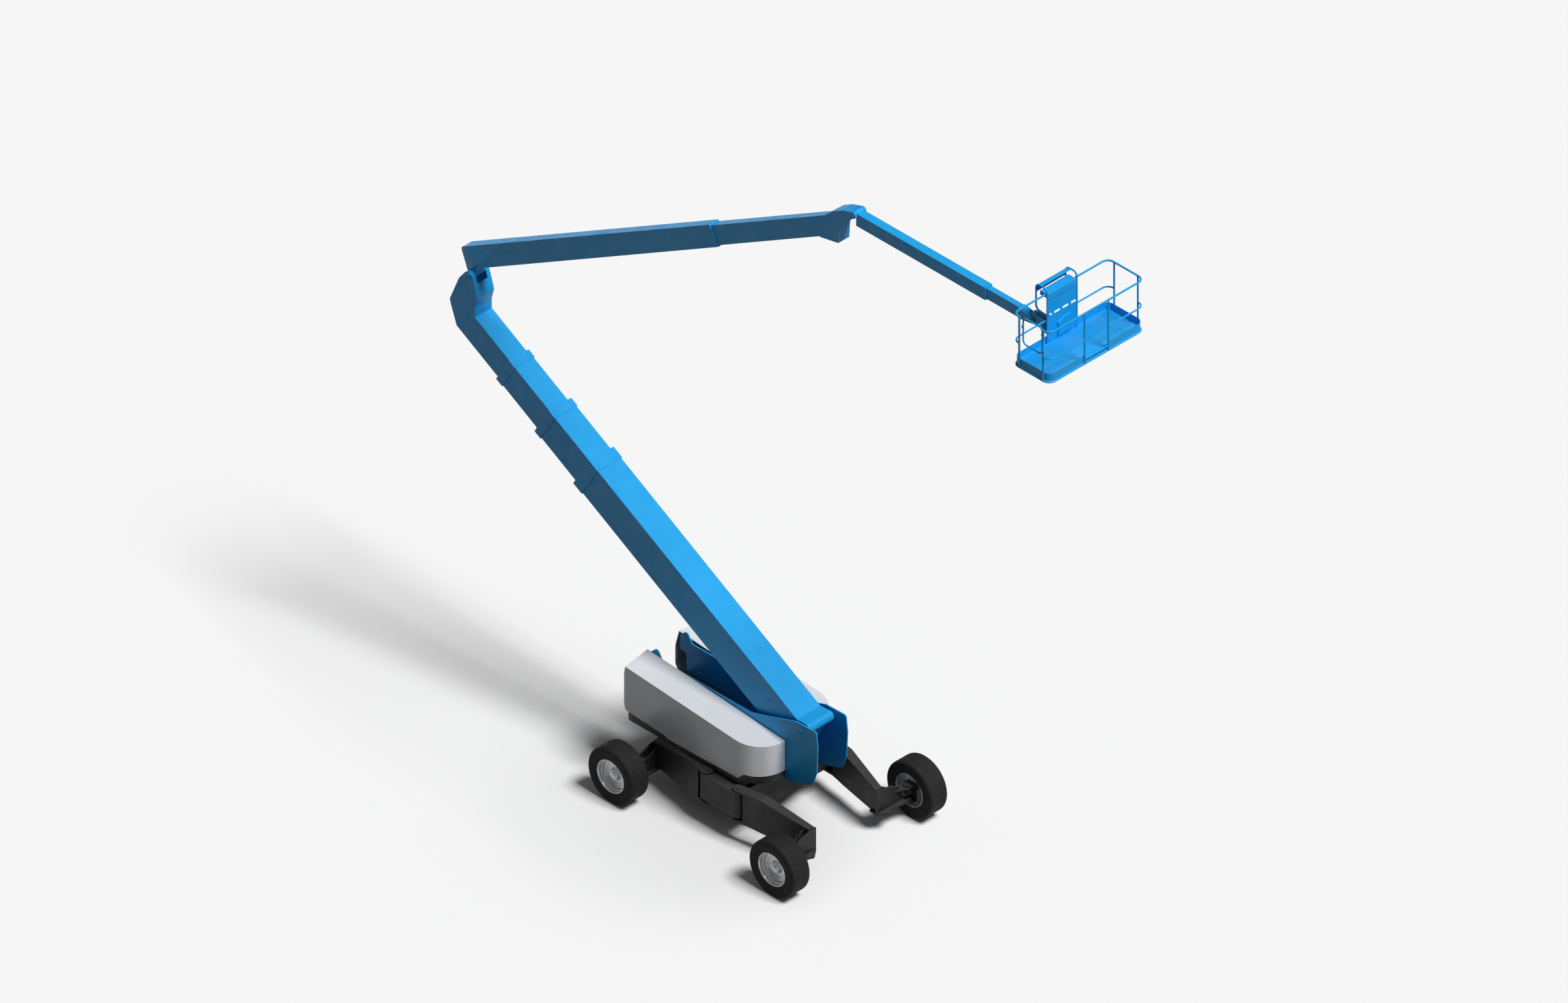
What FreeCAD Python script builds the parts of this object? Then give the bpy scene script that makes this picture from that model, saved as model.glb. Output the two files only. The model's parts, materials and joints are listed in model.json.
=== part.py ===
"""Articulated telescopic boom lift, standing with its axles spread and both booms raised.

X runs along the chassis towards the platform, Y across it and Z up. The origin is on the ground
under the middle of the machine's length. Sizes are millimetres and degrees.
"""
import FreeCAD
import Part
import Sketcher
import math
import os
import re

SIZES = [
    # name, value, what it is
    ("slew_x", -279, "slew axis along X, from the origin"),
    ("fit", 0.4, "gap between faces that slide or seat"),
    ("pin_fit", 0.3, "gap round a pin"),
    # chassis
    ("chassis_low", 560, "underside of the chassis box"),
    ("chassis_top", 1100, "top of the chassis box"),
    ("chassis_nose_x", 560, "front and rear faces of the box"),
    ("chassis_nose_y", 350, "half width of those faces"),
    ("chassis_waist_x", 500, "box faces beside the lugs"),
    ("pivot_x", 400, "axle leg pivots along X"),
    ("pivot_y", 1130, "axle leg pivots along Y"),
    ("lug_r", 128, "chassis lug round the pivot"),
    ("pivot_pin_r", 55, "axle leg pivot pin"),
    ("ring_r", 470, "slew ring"),
    ("ring_top", 1160, "top of the slew ring"),
    # axle legs, measured from their pivots
    ("leg_top", 1147, "top of a leg at its root"),
    ("leg_root_low", 455, "underside of a leg at its root"),
    ("leg_end_top", 885, "top of a leg at its end"),
    ("leg_end_low", 385, "underside of a leg at its end"),
    ("leg_root_x", 160, "root face of a leg"),
    ("leg_bend_x", 580, "bend of a leg"),
    ("leg_end_x", 1590, "end face of a leg"),
    ("leg_w", 200, "width of a leg at its bend"),
    ("leg_end_w", 140, "width of a leg at its end"),
    ("leg_end_y", -270, "middle of the end of a leg"),
    ("tongue_r", 112, "rounded ends of the leg plates"),
    ("low_tongue_t", 50, "lower leg plate"),
    ("yoke_t", 30, "yoke plates"),
    ("yoke_back_x", 1430, "inner yoke plate"),
    ("jaw_t", 35, "jaw plates"),
    ("jaw_top", 695, "top of the upper jaw"),
    ("jaw_r", 85, "rounded ends of the jaws"),
    # kingpins and wheels
    ("kingpin_x", 1640, "kingpin from the leg pivot along X"),
    ("kingpin_y", 370, "kingpin from the leg pivot along Y"),
    ("kingpin_r", 35, "kingpin"),
    ("arm_t", 35, "knuckle arms"),
    ("arm_w", 210, "width of the knuckle arms"),
    ("upright_y", 92, "inner face of the knuckle upright"),
    ("upright_t", 34, "thickness of the knuckle upright"),
    ("motor_r", 72, "drive motor"),
    ("motor_out", 30, "motor end inboard of the kingpin"),
    ("spindle_r", 60, "wheel spindle"),
    ("wheel_y", 240, "wheel centre from the kingpin along Y"),
    ("axle_z", 575, "wheel centre above the ground"),
    ("tyre_w", 440, "tyre width"),
    ("tyre_round", 30, "shoulder of the tyre"),
    ("rim_r", 344, "rim seat under the tyre"),
    ("rim_wall", 26, "rim barrel and its flanges"),
    ("rim_w", 400, "rim width"),
    ("disc_y", 40, "inner face of the rim disc"),
    ("disc_t", 20, "rim disc"),
    ("hub_r", 128, "hub drum"),
    ("hub_out", 120, "outer end of the hub drum"),
    ("cap_r", 62, "hub cap"),
    # turret
    ("deck_low", 1166, "underside of the skirts"),
    ("deck_front_low", 1235, "underside of the skirts at the front"),
    ("base_low", 1190, "underside of the turret base"),
    ("base_t", 45, "turret base plate"),
    ("base_front_x", 900, "front of the turret base"),
    ("bulkhead_x", -420, "rear bulkhead of the turret base"),
    ("bulkhead_t", 40, "bulkheads"),
    ("bulkhead_top", 1560, "top of the bulkheads and of the counterweight"),
    ("weight_x", -1150, "front of the counterweight"),
    ("side_y", 375, "middle of a turret side plate"),
    ("side_t", 25, "turret side plates"),
    ("side_top", 2205, "upper edge of the side plates"),
    ("rear_x", -2586, "rear edge of the side plates"),
    ("rear_foot_x", -2418, "rear edge of their feet"),
    ("cover_y", 1060, "outer face of the covers"),
    ("cover_in_y", 400, "inner edge of the covers"),
    ("cover_rear_x", -2643, "rear inner corner of the covers"),
    ("cover_front_x", 840, "front of the covers"),
    ("cover_round_r", 600, "round front corner of the covers"),
    ("cover_slant", 8.2, "rear faces of the covers, off square"),
    ("cover_bulge", 100, "rear faces of the covers swell by this"),
    ("cover_low", 1243, "lower edge of the covers in the middle"),
    ("cover_low_rear", 1378, "lower edge of the covers at the rear"),
    ("cover_low_front", 1395, "lower edge of the covers at the front"),
    ("cover_step_x", -1560, "rear step of that edge"),
    ("cover_nose_x", 300, "front step of that edge"),
    ("cover_rear_top", 2300, "cover top at the rear"),
    ("cover_front_top", 2030, "cover top at the front"),
    ("cover_t", 14, "cover wall"),
    ("deck_floor_t", 25, "deck floor plate"),
    ("deck_wall_t", 20, "skirt wall"),
    # lower boom, in its own frame from the foot pin
    ("foot_x", 1260, "foot pin along X from the slew axis"),
    ("foot_z", 2450, "foot pin above the ground"),
    ("foot_pin_r", 55, "foot pin"),
    ("foot_boss_r", 110, "boss round the foot pin"),
    ("lower_lift", 30, "lower boom above the horizontal"),
    ("lower_axis", -410, "lower boom centre line below the foot pin"),
    ("lower_w1", 590, "first section width"),
    ("lower_h1", 770, "first section height"),
    ("lower_w2", 540, "second section width"),
    ("lower_h2", 695, "second section height"),
    ("lower_w3", 470, "third section width"),
    ("lower_h3", 615, "third section height"),
    ("lower_w4", 430, "fourth section width"),
    ("lower_h4", 580, "fourth section height"),
    ("lower_end1", 6316, "end of the first section"),
    ("lower_end2", 7500, "end of the second section"),
    ("lower_end3", 8684, "end of the third section"),
    ("lower_end4", 9697, "end of the fourth section"),
    ("lower_start2", 1400, "inner end of the second section"),
    ("lower_start3", 2500, "inner end of the third section"),
    ("lower_start4", 3600, "inner end of the fourth section"),
    ("lower_wall", 9, "wall of the lower boom"),
    ("doubler_t", 7, "plates on the sides of the boom foot"),
    ("collar_step", 16, "collars stand out by this"),
    ("collar_l1", 253, "first collar length"),
    ("collar_l2", 180, "second and third collar lengths"),
    # knuckle between the booms
    ("knuckle_out", 568, "knuckle pin beyond the end of the fourth section"),
    ("knuckle_pin_n", 540, "knuckle pin above the foot pin's line"),
    ("knuckle_pin_r", 45, "knuckle pin"),
    ("slot_w", 250, "slot for the upper boom"),
    # upper boom, in its own frame from the knuckle pin
    ("upper_lift", 30, "upper boom above the horizontal"),
    ("upper_w1", 235, "first section width"),
    ("upper_h1", 440, "first section height"),
    ("upper_w2", 195, "second section width"),
    ("upper_h2", 390, "second section height"),
    ("upper_axis", 290, "upper boom centre line above the knuckle pin"),
    ("upper_end1", 7218, "end of the first section"),
    ("upper_start2", 3750, "inner end of the second section"),
    ("upper_end2", 10400, "second section meets the head"),
    ("upper_wall", 8, "wall of the upper boom"),
    ("upper_frame_l", 120, "end frame of the first section"),
    ("upper_boss_r", 90, "boss round the knuckle pin"),
    ("head_w", 280, "head width"),
    ("jib_pin_t", 11401, "jib pin along the upper boom"),
    ("jib_pin_m", 447, "jib pin above the knuckle pin's line"),
    ("jib_pin_r", 32, "jib pin"),
    ("nose_r", 68, "rounded nose of the head"),
    # jib, in its own frame from the jib pin
    ("jib_w1", 178, "first section width"),
    ("jib_h1", 267, "first section height"),
    ("jib_w2", 120, "second section width"),
    ("jib_h2", 230, "second section height"),
    ("jib_axis", -98, "jib centre line below the jib pin"),
    ("jib_foot_x", 34, "foot end of the jib tube"),
    ("jib_end1", 3302, "end of the first section"),
    ("jib_start2", 1210, "inner end of the second section"),
    ("jib_end2", 4290, "end of the second section"),
    ("jib_wall", 7, "wall of the jib"),
    ("jib_frame_l", 120, "end frame of the first section"),
    ("cheek_t", 20, "cheek plates at the jib end"),
    ("level_pin_x", 4460, "level pin along the jib"),
    ("level_pin_z", -98, "level pin above the jib pin"),
    ("level_pin_r", 28, "level pin"),
    ("link_r", 68, "link boss and cheek ends"),
    ("link_top", 62, "top of the link above the jib pin"),
    # platform, from the rotator axis
    ("turn_x", 280, "rotator axis from the level pin"),
    ("turn_r", 88, "rotator body"),
    ("turn_pin_r", 30, "rotator shaft"),
    ("turn_low", -70, "underside of the rotator above the level pin"),
    ("bracket_t", 22, "rotator bracket plates"),
    ("platform_x", 395, "platform edge from the rotator axis"),
    ("platform_l", 950, "platform depth"),
    ("platform_w", 2440, "platform width"),
    ("platform_y", -33, "middle of the platform across the machine"),
    ("base_rail_z", -20, "base rail centre above the level pin"),
    ("rail_r", 19, "rail tube"),
    ("rail_bend_r", 140, "bend of the rails"),
    ("top_rail_h", 1100, "top rail above the base rail"),
    ("mid_rail_h", 524, "mid rail above the base rail"),
    ("toe_h", 165, "toe board height"),
    ("toe_t", 6, "toe board thickness"),
    ("toe_in", 8, "toe board inside the rail's centre line"),
    ("floor_t", 20, "floor thickness"),
    ("post_in", 35, "end posts inside the bends of the rails"),
    ("sill_h", 97, "sill of the entry above the base rail"),
    ("entry_y", 300, "entry posts either side of the middle"),
    ("gate_h", 576, "gate height"),
    ("gate_gap", 60, "gate tube to post, between centres"),
    ("gate_in", 40, "gate inside the posts"),
    ("gate_r", 15, "gate tube"),
    ("hinge_in", 130, "gate hinges inside the ends of the gate"),
    ("hinge_h", 50, "gate hinge ring"),
    ("hoop_r", 17, "hoop tube"),
    ("hoop_bend_r", 95, "bend of the hoops"),
    ("console_y", 3, "middle of the console"),
    ("console_lift", 5, "feet of the console above the floor"),
    ("console_w", 750, "hoop to hoop"),
    ("console_out", 284, "depth of the hoops"),
    ("bar_drop", 100, "cross bar below the top of the hoops"),
    ("console_low", 640, "lower bend of the hoops above the base rail"),
    ("console_top", 1225, "top of the hoops above the base rail"),
]

doc = FreeCAD.newDocument("boom_lift")
sheet = doc.addObject("Spreadsheet::Sheet", "Sizes")
for row, (alias, number, note) in enumerate(SIZES, start=1):
    sheet.set(f"A{row}", alias)
    sheet.set(f"B{row}", str(number))
    sheet.set(f"C{row}", note)
    sheet.setAlias(f"B{row}", alias)
doc.recompute()
ALIASES = {alias for alias, number, note in SIZES}
NODES = []
V = FreeCAD.Vector
UP = V(0, 0, 1)
ACROSS = V(0, 1, 0)
SLEW = ("slew_x", "0", "0")


def cells(formula):
    """The formula with each named size turned into its cell."""
    return re.sub(r"[a-z]\w*", lambda word: "Sizes." + word[0] if word[0] in ALIASES else word[0],
                  str(formula))


def value(formula):
    """The formula's number."""
    return float(sheet.evalExpression(cells(formula)))


def bind(thing, name, formula):
    """Tie one property of an object to the sizes."""
    thing.setExpression(name, cells(formula))


def place(thing, base, axis=None, angle=None):
    """Place an object at a base of three formulas, turned about an axis by a formula."""
    turn = FreeCAD.Rotation(axis, value(angle)) if axis else FreeCAD.Rotation()
    thing.Placement = FreeCAD.Placement(V(*[value(part) for part in base]), turn)
    for letter, formula in zip("xyz", base):
        bind(thing, f"Placement.Base.{letter}", formula)
    if axis:
        bind(thing, "Placement.Rotation.Angle", angle)


def node(thing, label):
    """Name an object as one of the machine's pieces."""
    thing.Label = label
    NODES.append(thing)
    return thing


def new_body(name, base=SLEW, axis=None, angle=None):
    """An empty body at its place."""
    body = doc.addObject("PartDesign::Body", name)
    place(body, base, axis, angle)
    return body


def new_sketch(body, plane, offset="0", turn="0"):
    """A sketch on one of the body's own planes, moved off it and turned about its upright by formulas."""
    sketch = body.newObject("Sketcher::SketchObject", body.Name + "_sketch")
    origin_plane = [part for part in body.Origin.OriginFeatures if part.Role == plane][0]
    sketch.AttachmentSupport = [(origin_plane, "")]
    sketch.MapMode = "FlatFace"
    sketch.AttachmentOffset = FreeCAD.Placement(V(0, 0, value(offset)), FreeCAD.Rotation(ACROSS, value(turn)))
    bind(sketch, "AttachmentOffset.Base.z", offset)
    if turn != "0":
        bind(sketch, "AttachmentOffset.Rotation.Angle", turn)
    return sketch


def fix_point(sketch, geometry, end, x, y):
    """Hold one point of a sketch at two formulas."""
    for kind, formula in (("DistanceX", x), ("DistanceY", y)):
        held = sketch.addConstraint(Sketcher.Constraint(kind, -1, 1, geometry, end, value(formula)))
        bind(sketch, f"Constraints[{held}]", formula)


def draw_circle(sketch, x, y, radius):
    """A circle at two formulas."""
    centre = V(value(x), value(y), 0)
    ring = sketch.addGeometry(Part.Circle(centre, V(0, 0, 1), value(radius)))
    fix_point(sketch, ring, 3, x, y)
    held = sketch.addConstraint(Sketcher.Constraint("Radius", ring, value(radius)))
    bind(sketch, f"Constraints[{held}]", radius)


def draw_outline(sketch, corners):
    """A closed outline through corners (x, y) or (x, y, rounding radius), all formulas."""
    points = [V(value(corner[0]), value(corner[1]), 0) for corner in corners]
    count = len(points)
    entry, leave = [], []
    for number, corner in enumerate(corners):
        back = (points[number - 1] - points[number]).normalize()
        ahead = (points[(number + 1) % count] - points[number]).normalize()
        trim = 0
        if len(corner) == 3:
            trim = value(corner[2]) / math.tan(back.getAngle(ahead) / 2)
        entry.append(points[number] + back * trim)
        leave.append(points[number] + ahead * trim)
    lines = [sketch.addGeometry(Part.LineSegment(leave[number], entry[(number + 1) % count]))
             for number in range(count)]
    for number, corner in enumerate(corners):
        before, after = lines[number - 1], lines[number]
        if len(corner) == 2:
            sketch.addConstraint(Sketcher.Constraint("Coincident", before, 2, after, 1))
            fix_point(sketch, after, 1, corner[0], corner[1])
        else:
            round_corner(sketch, before, after, corner, entry[number], leave[number], points[number])


def round_corner(sketch, before, after, corner, start, finish, tip):
    """An arc tangent to two lines whose corner stays where the formulas put it."""
    radius = value(corner[2])
    bisector = ((start - tip).normalize() + (finish - tip).normalize()).normalize()
    half = (start - tip).getAngle(finish - tip) / 2
    middle = tip + bisector * (radius / math.sin(half) - radius)
    arc = sketch.addGeometry(Part.Arc(start, middle, finish))
    turns_left = (tip - start).cross(finish - tip).z > 0
    first, last = (1, 2) if turns_left else (2, 1)
    sketch.addConstraint(Sketcher.Constraint("Tangent", before, 2, arc, first))
    sketch.addConstraint(Sketcher.Constraint("Tangent", arc, last, after, 1))
    point = sketch.addGeometry(Part.Point(tip), True)
    sketch.addConstraint(Sketcher.Constraint("PointOnObject", point, 1, before))
    sketch.addConstraint(Sketcher.Constraint("PointOnObject", point, 1, after))
    fix_point(sketch, point, 1, corner[0], corner[1])
    held = sketch.addConstraint(Sketcher.Constraint("Radius", arc, radius))
    bind(sketch, f"Constraints[{held}]", corner[2])


def add_shapes(sketch, shapes):
    """Draw outlines (lists of corners) and circles (tuples of x, y, radius)."""
    for shape in shapes:
        if isinstance(shape, tuple):
            draw_circle(sketch, *shape)
        else:
            draw_outline(sketch, shape)


def extrude(body, kind, plane, shapes, length, offset, middle, reverse, turn="0"):
    """A pad or pocket of shapes on a plane."""
    sketch = new_sketch(body, plane, offset, turn)
    add_shapes(sketch, shapes)
    feature = body.newObject(kind, body.Name + "_feature")
    feature.Profile = sketch
    feature.SideType = "Symmetric" if middle else "One side"
    feature.Reversed = reverse
    bind(feature, "Length", length)
    return feature


def pad(body, plane, shapes, length, offset="0", middle=False, reverse=False):
    """Add material to a body."""
    return extrude(body, "PartDesign::Pad", plane, shapes, length, offset, middle, reverse)


def pocket(body, plane, shapes, length, offset="0", middle=False, reverse=False, turn="0"):
    """Take material from a body and check that some was taken."""
    doc.recompute()
    before = body.Shape.Volume
    feature = extrude(body, "PartDesign::Pocket", plane, shapes, length, offset, middle, reverse, turn)
    doc.recompute()
    if body.Shape.Volume > before - 1:
        raise ValueError(f"{body.Name}: a pocket takes nothing away")
    return feature


def slab(body, shapes, low, top):
    """Add shapes drawn in plan between two heights."""
    return pad(body, "XY_Plane", shapes, f"({top}) - ({low})", low)


def rectangle(left, low, right, top):
    """The four corners of a rectangle."""
    return [(left, low), (right, low), (right, top), (left, top)]


def cylinder(name, radius, length, base, axis=None, angle=None):
    """A plain cylinder along its own Z."""
    rod = doc.addObject("Part::Cylinder", name)
    bind(rod, "Radius", radius)
    bind(rod, "Height", length)
    place(rod, base, axis, angle)
    return rod


def combine(kind, label, base, tool):
    """A boolean of two objects."""
    result = doc.addObject(kind, label)
    result.Base = base
    result.Tool = tool
    return result


def cross_pin(label, radius, half_length, base):
    """A pin lying across the machine, centred on a base."""
    pin = cylinder(label, radius, f"2 * ({half_length})", base)
    place(pin, (base[0], half_length, base[2]), V(1, 0, 0), "90")
    return node(pin, label)


def chassis():
    """Transverse chassis box with a round lug at each corner and the leg pivot pins."""
    body = new_body("chassis_frame")
    outline = []
    for front, side in ((1, 1), (-1, 1), (-1, -1), (1, -1)):
        quarter = [(f"{front} * chassis_nose_x", f"{side} * chassis_nose_y"),
                   (f"{front} * chassis_waist_x", f"{side} * (chassis_nose_y + 300)", "300"),
                   (f"{front} * chassis_waist_x", f"{side} * pivot_y"),
                   (f"{front} * pivot_x", f"{side} * (pivot_y + lug_r)")]
        outline += quarter if front * side > 0 else quarter[::-1]
    slab(body, [outline], "chassis_low", "chassis_top")
    corners = [(f"{front} * pivot_x", f"{side} * pivot_y") for front in (1, -1) for side in (1, -1)]
    slab(body, [(x, y, "lug_r") for x, y in corners], "chassis_low", "chassis_top")
    slab(body, [(x, y, "pivot_pin_r") for x, y in corners], "leg_root_low - 12", "leg_top + 10")
    node(body, "chassis_frame")
    ring = cylinder("slew_ring", "ring_r", "ring_top - chassis_top", ("slew_x", "0", "chassis_top"))
    node(ring, "slew_ring")


def axle_leg(label, front, side):
    """Bent box leg with a fork at its pivot and a yoke with two jaws at its kingpin."""
    def at(corners):
        """Corners given outward from the pivot, turned to this corner of the machine."""
        return [(f"{front} * ({c[0]})", f"{side} * ({c[1]})") + tuple(c[2:]) for c in corners]

    def level(corners):
        """Corners of a side view, turned to this end of the machine."""
        return [(f"{front} * ({c[0]})", c[1]) + tuple(c[2:]) for c in corners]

    def crosswise(corners):
        """Corners of a front view, turned to this side of the machine."""
        return [(f"{side} * ({c[0]})", c[1]) + tuple(c[2:]) for c in corners]

    body = new_body(label, (f"slew_x + {front} * pivot_x", f"{side} * pivot_y", "0"))
    plan = at([("leg_root_x", "72"), ("leg_bend_x + 20", "15", "400"),
               ("leg_end_x - 30", "leg_end_y + leg_end_w / 2"),
               ("leg_end_x - 30", "leg_end_y - leg_end_w / 2"),
               ("leg_bend_x - 30", "15 - leg_w", "400"), ("leg_root_x + 65", "-118"),
               ("leg_root_x", "-60")])
    slab(body, [plan], "leg_end_low", "leg_top")
    pocket(body, "XZ_Plane", [level([("leg_bend_x", "leg_top + 60"), ("leg_bend_x", "leg_top"),
                                     ("leg_end_x + 50", "leg_end_top"),
                                     ("leg_end_x + 50", "leg_top + 60")])], "2000", middle=True)
    pocket(body, "XZ_Plane", [level([("leg_root_x - 50", "leg_root_low"), ("leg_root_x + 220", "leg_root_low"),
                                     ("leg_end_x", "leg_end_low"), ("leg_end_x", "leg_end_low - 60"),
                                     ("leg_root_x - 50", "leg_end_low - 60")])], "2000", middle=True)
    tongue = at([("0", "tongue_r"), ("leg_root_x + 60", "64"), ("leg_root_x + 60", "-118"), ("0", "-tongue_r")])
    round_end = ("0", "0", "tongue_r")
    for low, top in (("chassis_top + fit", "leg_top"), ("leg_root_low", "leg_root_low + low_tongue_t")):
        slab(body, [tongue], low, top)
        slab(body, [round_end], low, top)
    yoke = crosswise([("leg_end_y - 95", "leg_end_low + 45"), ("leg_end_y - 95", "leg_end_top + 5"),
                      ("-95", "845"), ("128", "765"), ("kingpin_y - 115", "jaw_top - 8"),
                      ("kingpin_y + 10", "jaw_top - 30"),
                      ("kingpin_y + 10", "jaw_top - jaw_t - 2"), ("kingpin_y - 100", "jaw_top - jaw_t - 2"),
                      ("kingpin_y - 100", "leg_end_low + jaw_t + 2"),
                      ("kingpin_y + 10", "leg_end_low + jaw_t + 2"), ("kingpin_y + 10", "leg_end_low"),
                      ("190", "leg_end_low")])
    pad(body, "YZ_Plane", [yoke], "yoke_t", f"{front} * leg_end_x - (yoke_t + {front} * yoke_t) / 2")
    gusset = crosswise([("leg_end_y", "leg_end_low"), ("leg_end_y", "leg_end_top + 20"), ("-175", "870"),
                        ("20", "735"), ("190", "jaw_top"), ("190", "leg_end_low")])
    pad(body, "YZ_Plane", [gusset], "yoke_t", f"{front} * yoke_back_x - (yoke_t - {front} * yoke_t) / 2")
    lower_jaw = at([("yoke_back_x - 60", "-200"), ("yoke_back_x - 20", "leg_end_y - 100"),
                    ("leg_end_x", "leg_end_y - 100"), ("leg_end_x + 150", "-175", "30"),
                    ("leg_end_x + 80", "0", "60"), ("kingpin_x + jaw_r", "kingpin_y"),
                    ("kingpin_x - jaw_r", "kingpin_y"), ("yoke_back_x - 60", "100")])
    upper_jaw = at([("yoke_back_x", "80"), ("leg_end_x", "80"), ("kingpin_x + jaw_r", "kingpin_y - 20"),
                    ("kingpin_x + jaw_r", "kingpin_y"), ("kingpin_x - jaw_r", "kingpin_y")])
    kingpin = (f"{front} * kingpin_x", f"{side} * kingpin_y")
    for jaw, low in ((lower_jaw, "leg_end_low"), (upper_jaw, "jaw_top - jaw_t")):
        slab(body, [jaw], low, f"{low} + jaw_t")
        slab(body, [kingpin + ("jaw_r",)], low, f"{low} + jaw_t")
    pocket(body, "XY_Plane", [("0", "0", "pivot_pin_r + pin_fit"), kingpin + ("kingpin_r + pin_fit",)],
           "leg_top + 50", "0", reverse=True)
    return node(body, label)


def knuckle(label, front, side):
    """Steering knuckle: two arms round the jaws, an upright, the drive motor and the spindle."""
    body = new_body(label, (f"slew_x + {front} * (pivot_x + kingpin_x)",
                            f"{side} * (pivot_y + kingpin_y)", "0"))
    arm = [("-arm_w / 2", f"{side} * (upright_y + 4)"), ("arm_w / 2", f"{side} * (upright_y + 4)"),
           ("arm_w / 2", f"-20 * {side}"), ("0", f"-80 * {side}"), ("-arm_w / 2", f"-20 * {side}")]
    arms = (("jaw_top + fit", "jaw_top + fit + arm_t"), ("leg_end_low - fit - arm_t", "leg_end_low - fit"))
    for low, top in arms:
        slab(body, [arm], low, top)
    pad(body, "XZ_Plane", [rectangle("-arm_w / 2", arms[1][0], "arm_w / 2", arms[0][1])], "upright_t",
        f"-{side} * upright_y - ({side} + 1) / 2 * upright_t" if side > 0 else "upright_y")
    for low, top in (("jaw_top - jaw_t", "jaw_top + arm_t / 2"),
                     ("leg_end_low - arm_t / 2", "leg_end_low + jaw_t")):
        slab(body, [("0", "0", "kingpin_r")], low, top)
    reach = "wheel_y + disc_y + disc_t"
    for radius, start, finish in (("motor_r", "-motor_out", "upright_y"),
                                  ("spindle_r", "upright_y", reach)):
        length = f"({finish}) - ({start})"
        offset = f"-({finish})" if side > 0 else start
        pad(body, "XZ_Plane", [("0", "axle_z", radius)], length, offset)
    return node(body, label)


def wheel(place_name, front, side):
    """Foam-filled tyre and its stepped rim, both turned round the wheel axis."""
    centre = (f"slew_x + {front} * (pivot_x + kingpin_x)", f"{side} * (pivot_y + kingpin_y + wheel_y)", "axle_z")
    tyre = [("rim_r", "-tyre_w / 2"), ("axle_z - tyre_round", "-tyre_w / 2"),
            ("axle_z", "-tyre_w / 2 + tyre_round * 0.8")]
    tyre += [(radius, f"-({across})") for radius, across in tyre[::-1]]
    rim = [("rim_r - fit", "-rim_w / 2"), ("rim_r - rim_wall", "-rim_w / 2"), ("rim_r - rim_wall", "disc_y"),
           ("spindle_r + fit", "disc_y"), ("spindle_r + fit", "disc_y + disc_t + fit"),
           ("0", "disc_y + disc_t + fit"), ("0", "hub_out + 38"), ("cap_r", "hub_out + 38"),
           ("cap_r", "hub_out"), ("hub_r", "hub_out"), ("hub_r", "disc_y + disc_t"),
           ("rim_r - rim_wall", "disc_y + disc_t"), ("rim_r - rim_wall", "rim_w / 2"),
           ("rim_r - fit", "rim_w / 2")]
    for name, outline in (("tyre", tyre), ("rim", rim)):
        body = new_body(f"{name}_{place_name}", centre)
        sketch = new_sketch(body, "XY_Plane")
        add_shapes(sketch, [[(radius, f"{side} * ({across})") for radius, across in outline]])
        turned = body.newObject("PartDesign::Revolution", body.Name + "_turned")
        turned.Profile = sketch
        turned.ReferenceAxis = (sketch, ["V_Axis"])
        turned.Angle = 360
        node(body, f"{name}_{place_name}")


def turret():
    """Turret base, the two boom side plates between the covers, counterweight and decks."""
    base = new_body("turret_base")
    half = "side_y - side_t / 2"
    slab(base, [rectangle("rear_foot_x + 10", f"-({half})", "base_front_x", half)], "base_low", "base_low + base_t")
    slab(base, [("0", "0", "ring_r - 15")], "ring_top + fit", "deck_low - fit")
    slab(base, [rectangle("15 - ring_r", f"-({half})", "ring_r - 15", half)], "deck_low - fit", "base_low")
    for rear in ("bulkhead_x", "base_front_x"):
        slab(base, [rectangle(rear, f"-({half})", f"{rear} + bulkhead_t", half)], "base_low", "bulkhead_top")
    node(base, "turret_base")
    plate = [("rear_foot_x", "base_low"), ("785", "base_low"), ("980", "base_low + 17"),
             ("foot_x + 262", "1394", "130"), ("foot_x + 362", "foot_z - 760"), ("foot_x + 390", "foot_z - 210"),
             ("foot_x + 352", "foot_z + 138", "60"), ("foot_x - 154", "foot_z + 125"),
             ("foot_x - 869", "side_top + 129", "600"), ("-50", "side_top", "300"),
             ("rear_x + 301", "side_top", "40"), ("rear_x + 166", "side_top + 215", "70"),
             ("rear_x", "side_top + 57"), ("rear_x", "side_top - 252"),
             ("rear_foot_x", "side_top - 252", "70")]
    for label, side in (("turret_plate_left", 1), ("turret_plate_right", -1)):
        body = new_body(label)
        pad(body, "XZ_Plane", [plate], "side_t", f"-{side} * side_y - side_t / 2")
        pocket(body, "XZ_Plane", [("foot_x", "foot_z", "foot_pin_r + pin_fit")], "side_t * 3",
               f"-{side} * side_y", middle=True)
        node(body, label)
    cross_pin("boom_foot_pin", "foot_pin_r", "side_y + side_t / 2 + 12", ("slew_x + foot_x", "0", "foot_z"))
    weight = new_body("counterweight")
    pad(weight, "XZ_Plane", [[("rear_foot_x + 10", "base_low + base_t"), ("weight_x", "base_low + base_t"),
                              ("weight_x", "bulkhead_top - 80"), ("weight_x - 100", "bulkhead_top"),
                              ("rear_foot_x + 10", "bulkhead_top")]],
        f"2 * ({half})", middle=True)
    node(weight, "counterweight")


def cover_plan(side, inset, inner, swell="0"):
    """Plan of a cover, inset by a formula, from an inner edge, its slanted rear moved back by a swell."""
    outer_rear = "cover_rear_x + (cover_y - cover_in_y) * tan(cover_slant)"
    rows = [("cover_rear_x + {0} - {1}", inner), ("cover_front_x - {0}", inner),
            ("cover_front_x - {0}", "cover_y - {0}", "cover_round_r - {0}"),
            (outer_rear + " + {0} - {1}", "cover_y - {0}", "150")]
    rows = [tuple(part.format(inset, swell) for part in row) for row in rows]
    return [(row[0], f"{side} * ({row[1]})") + row[2:] for row in rows]


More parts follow.
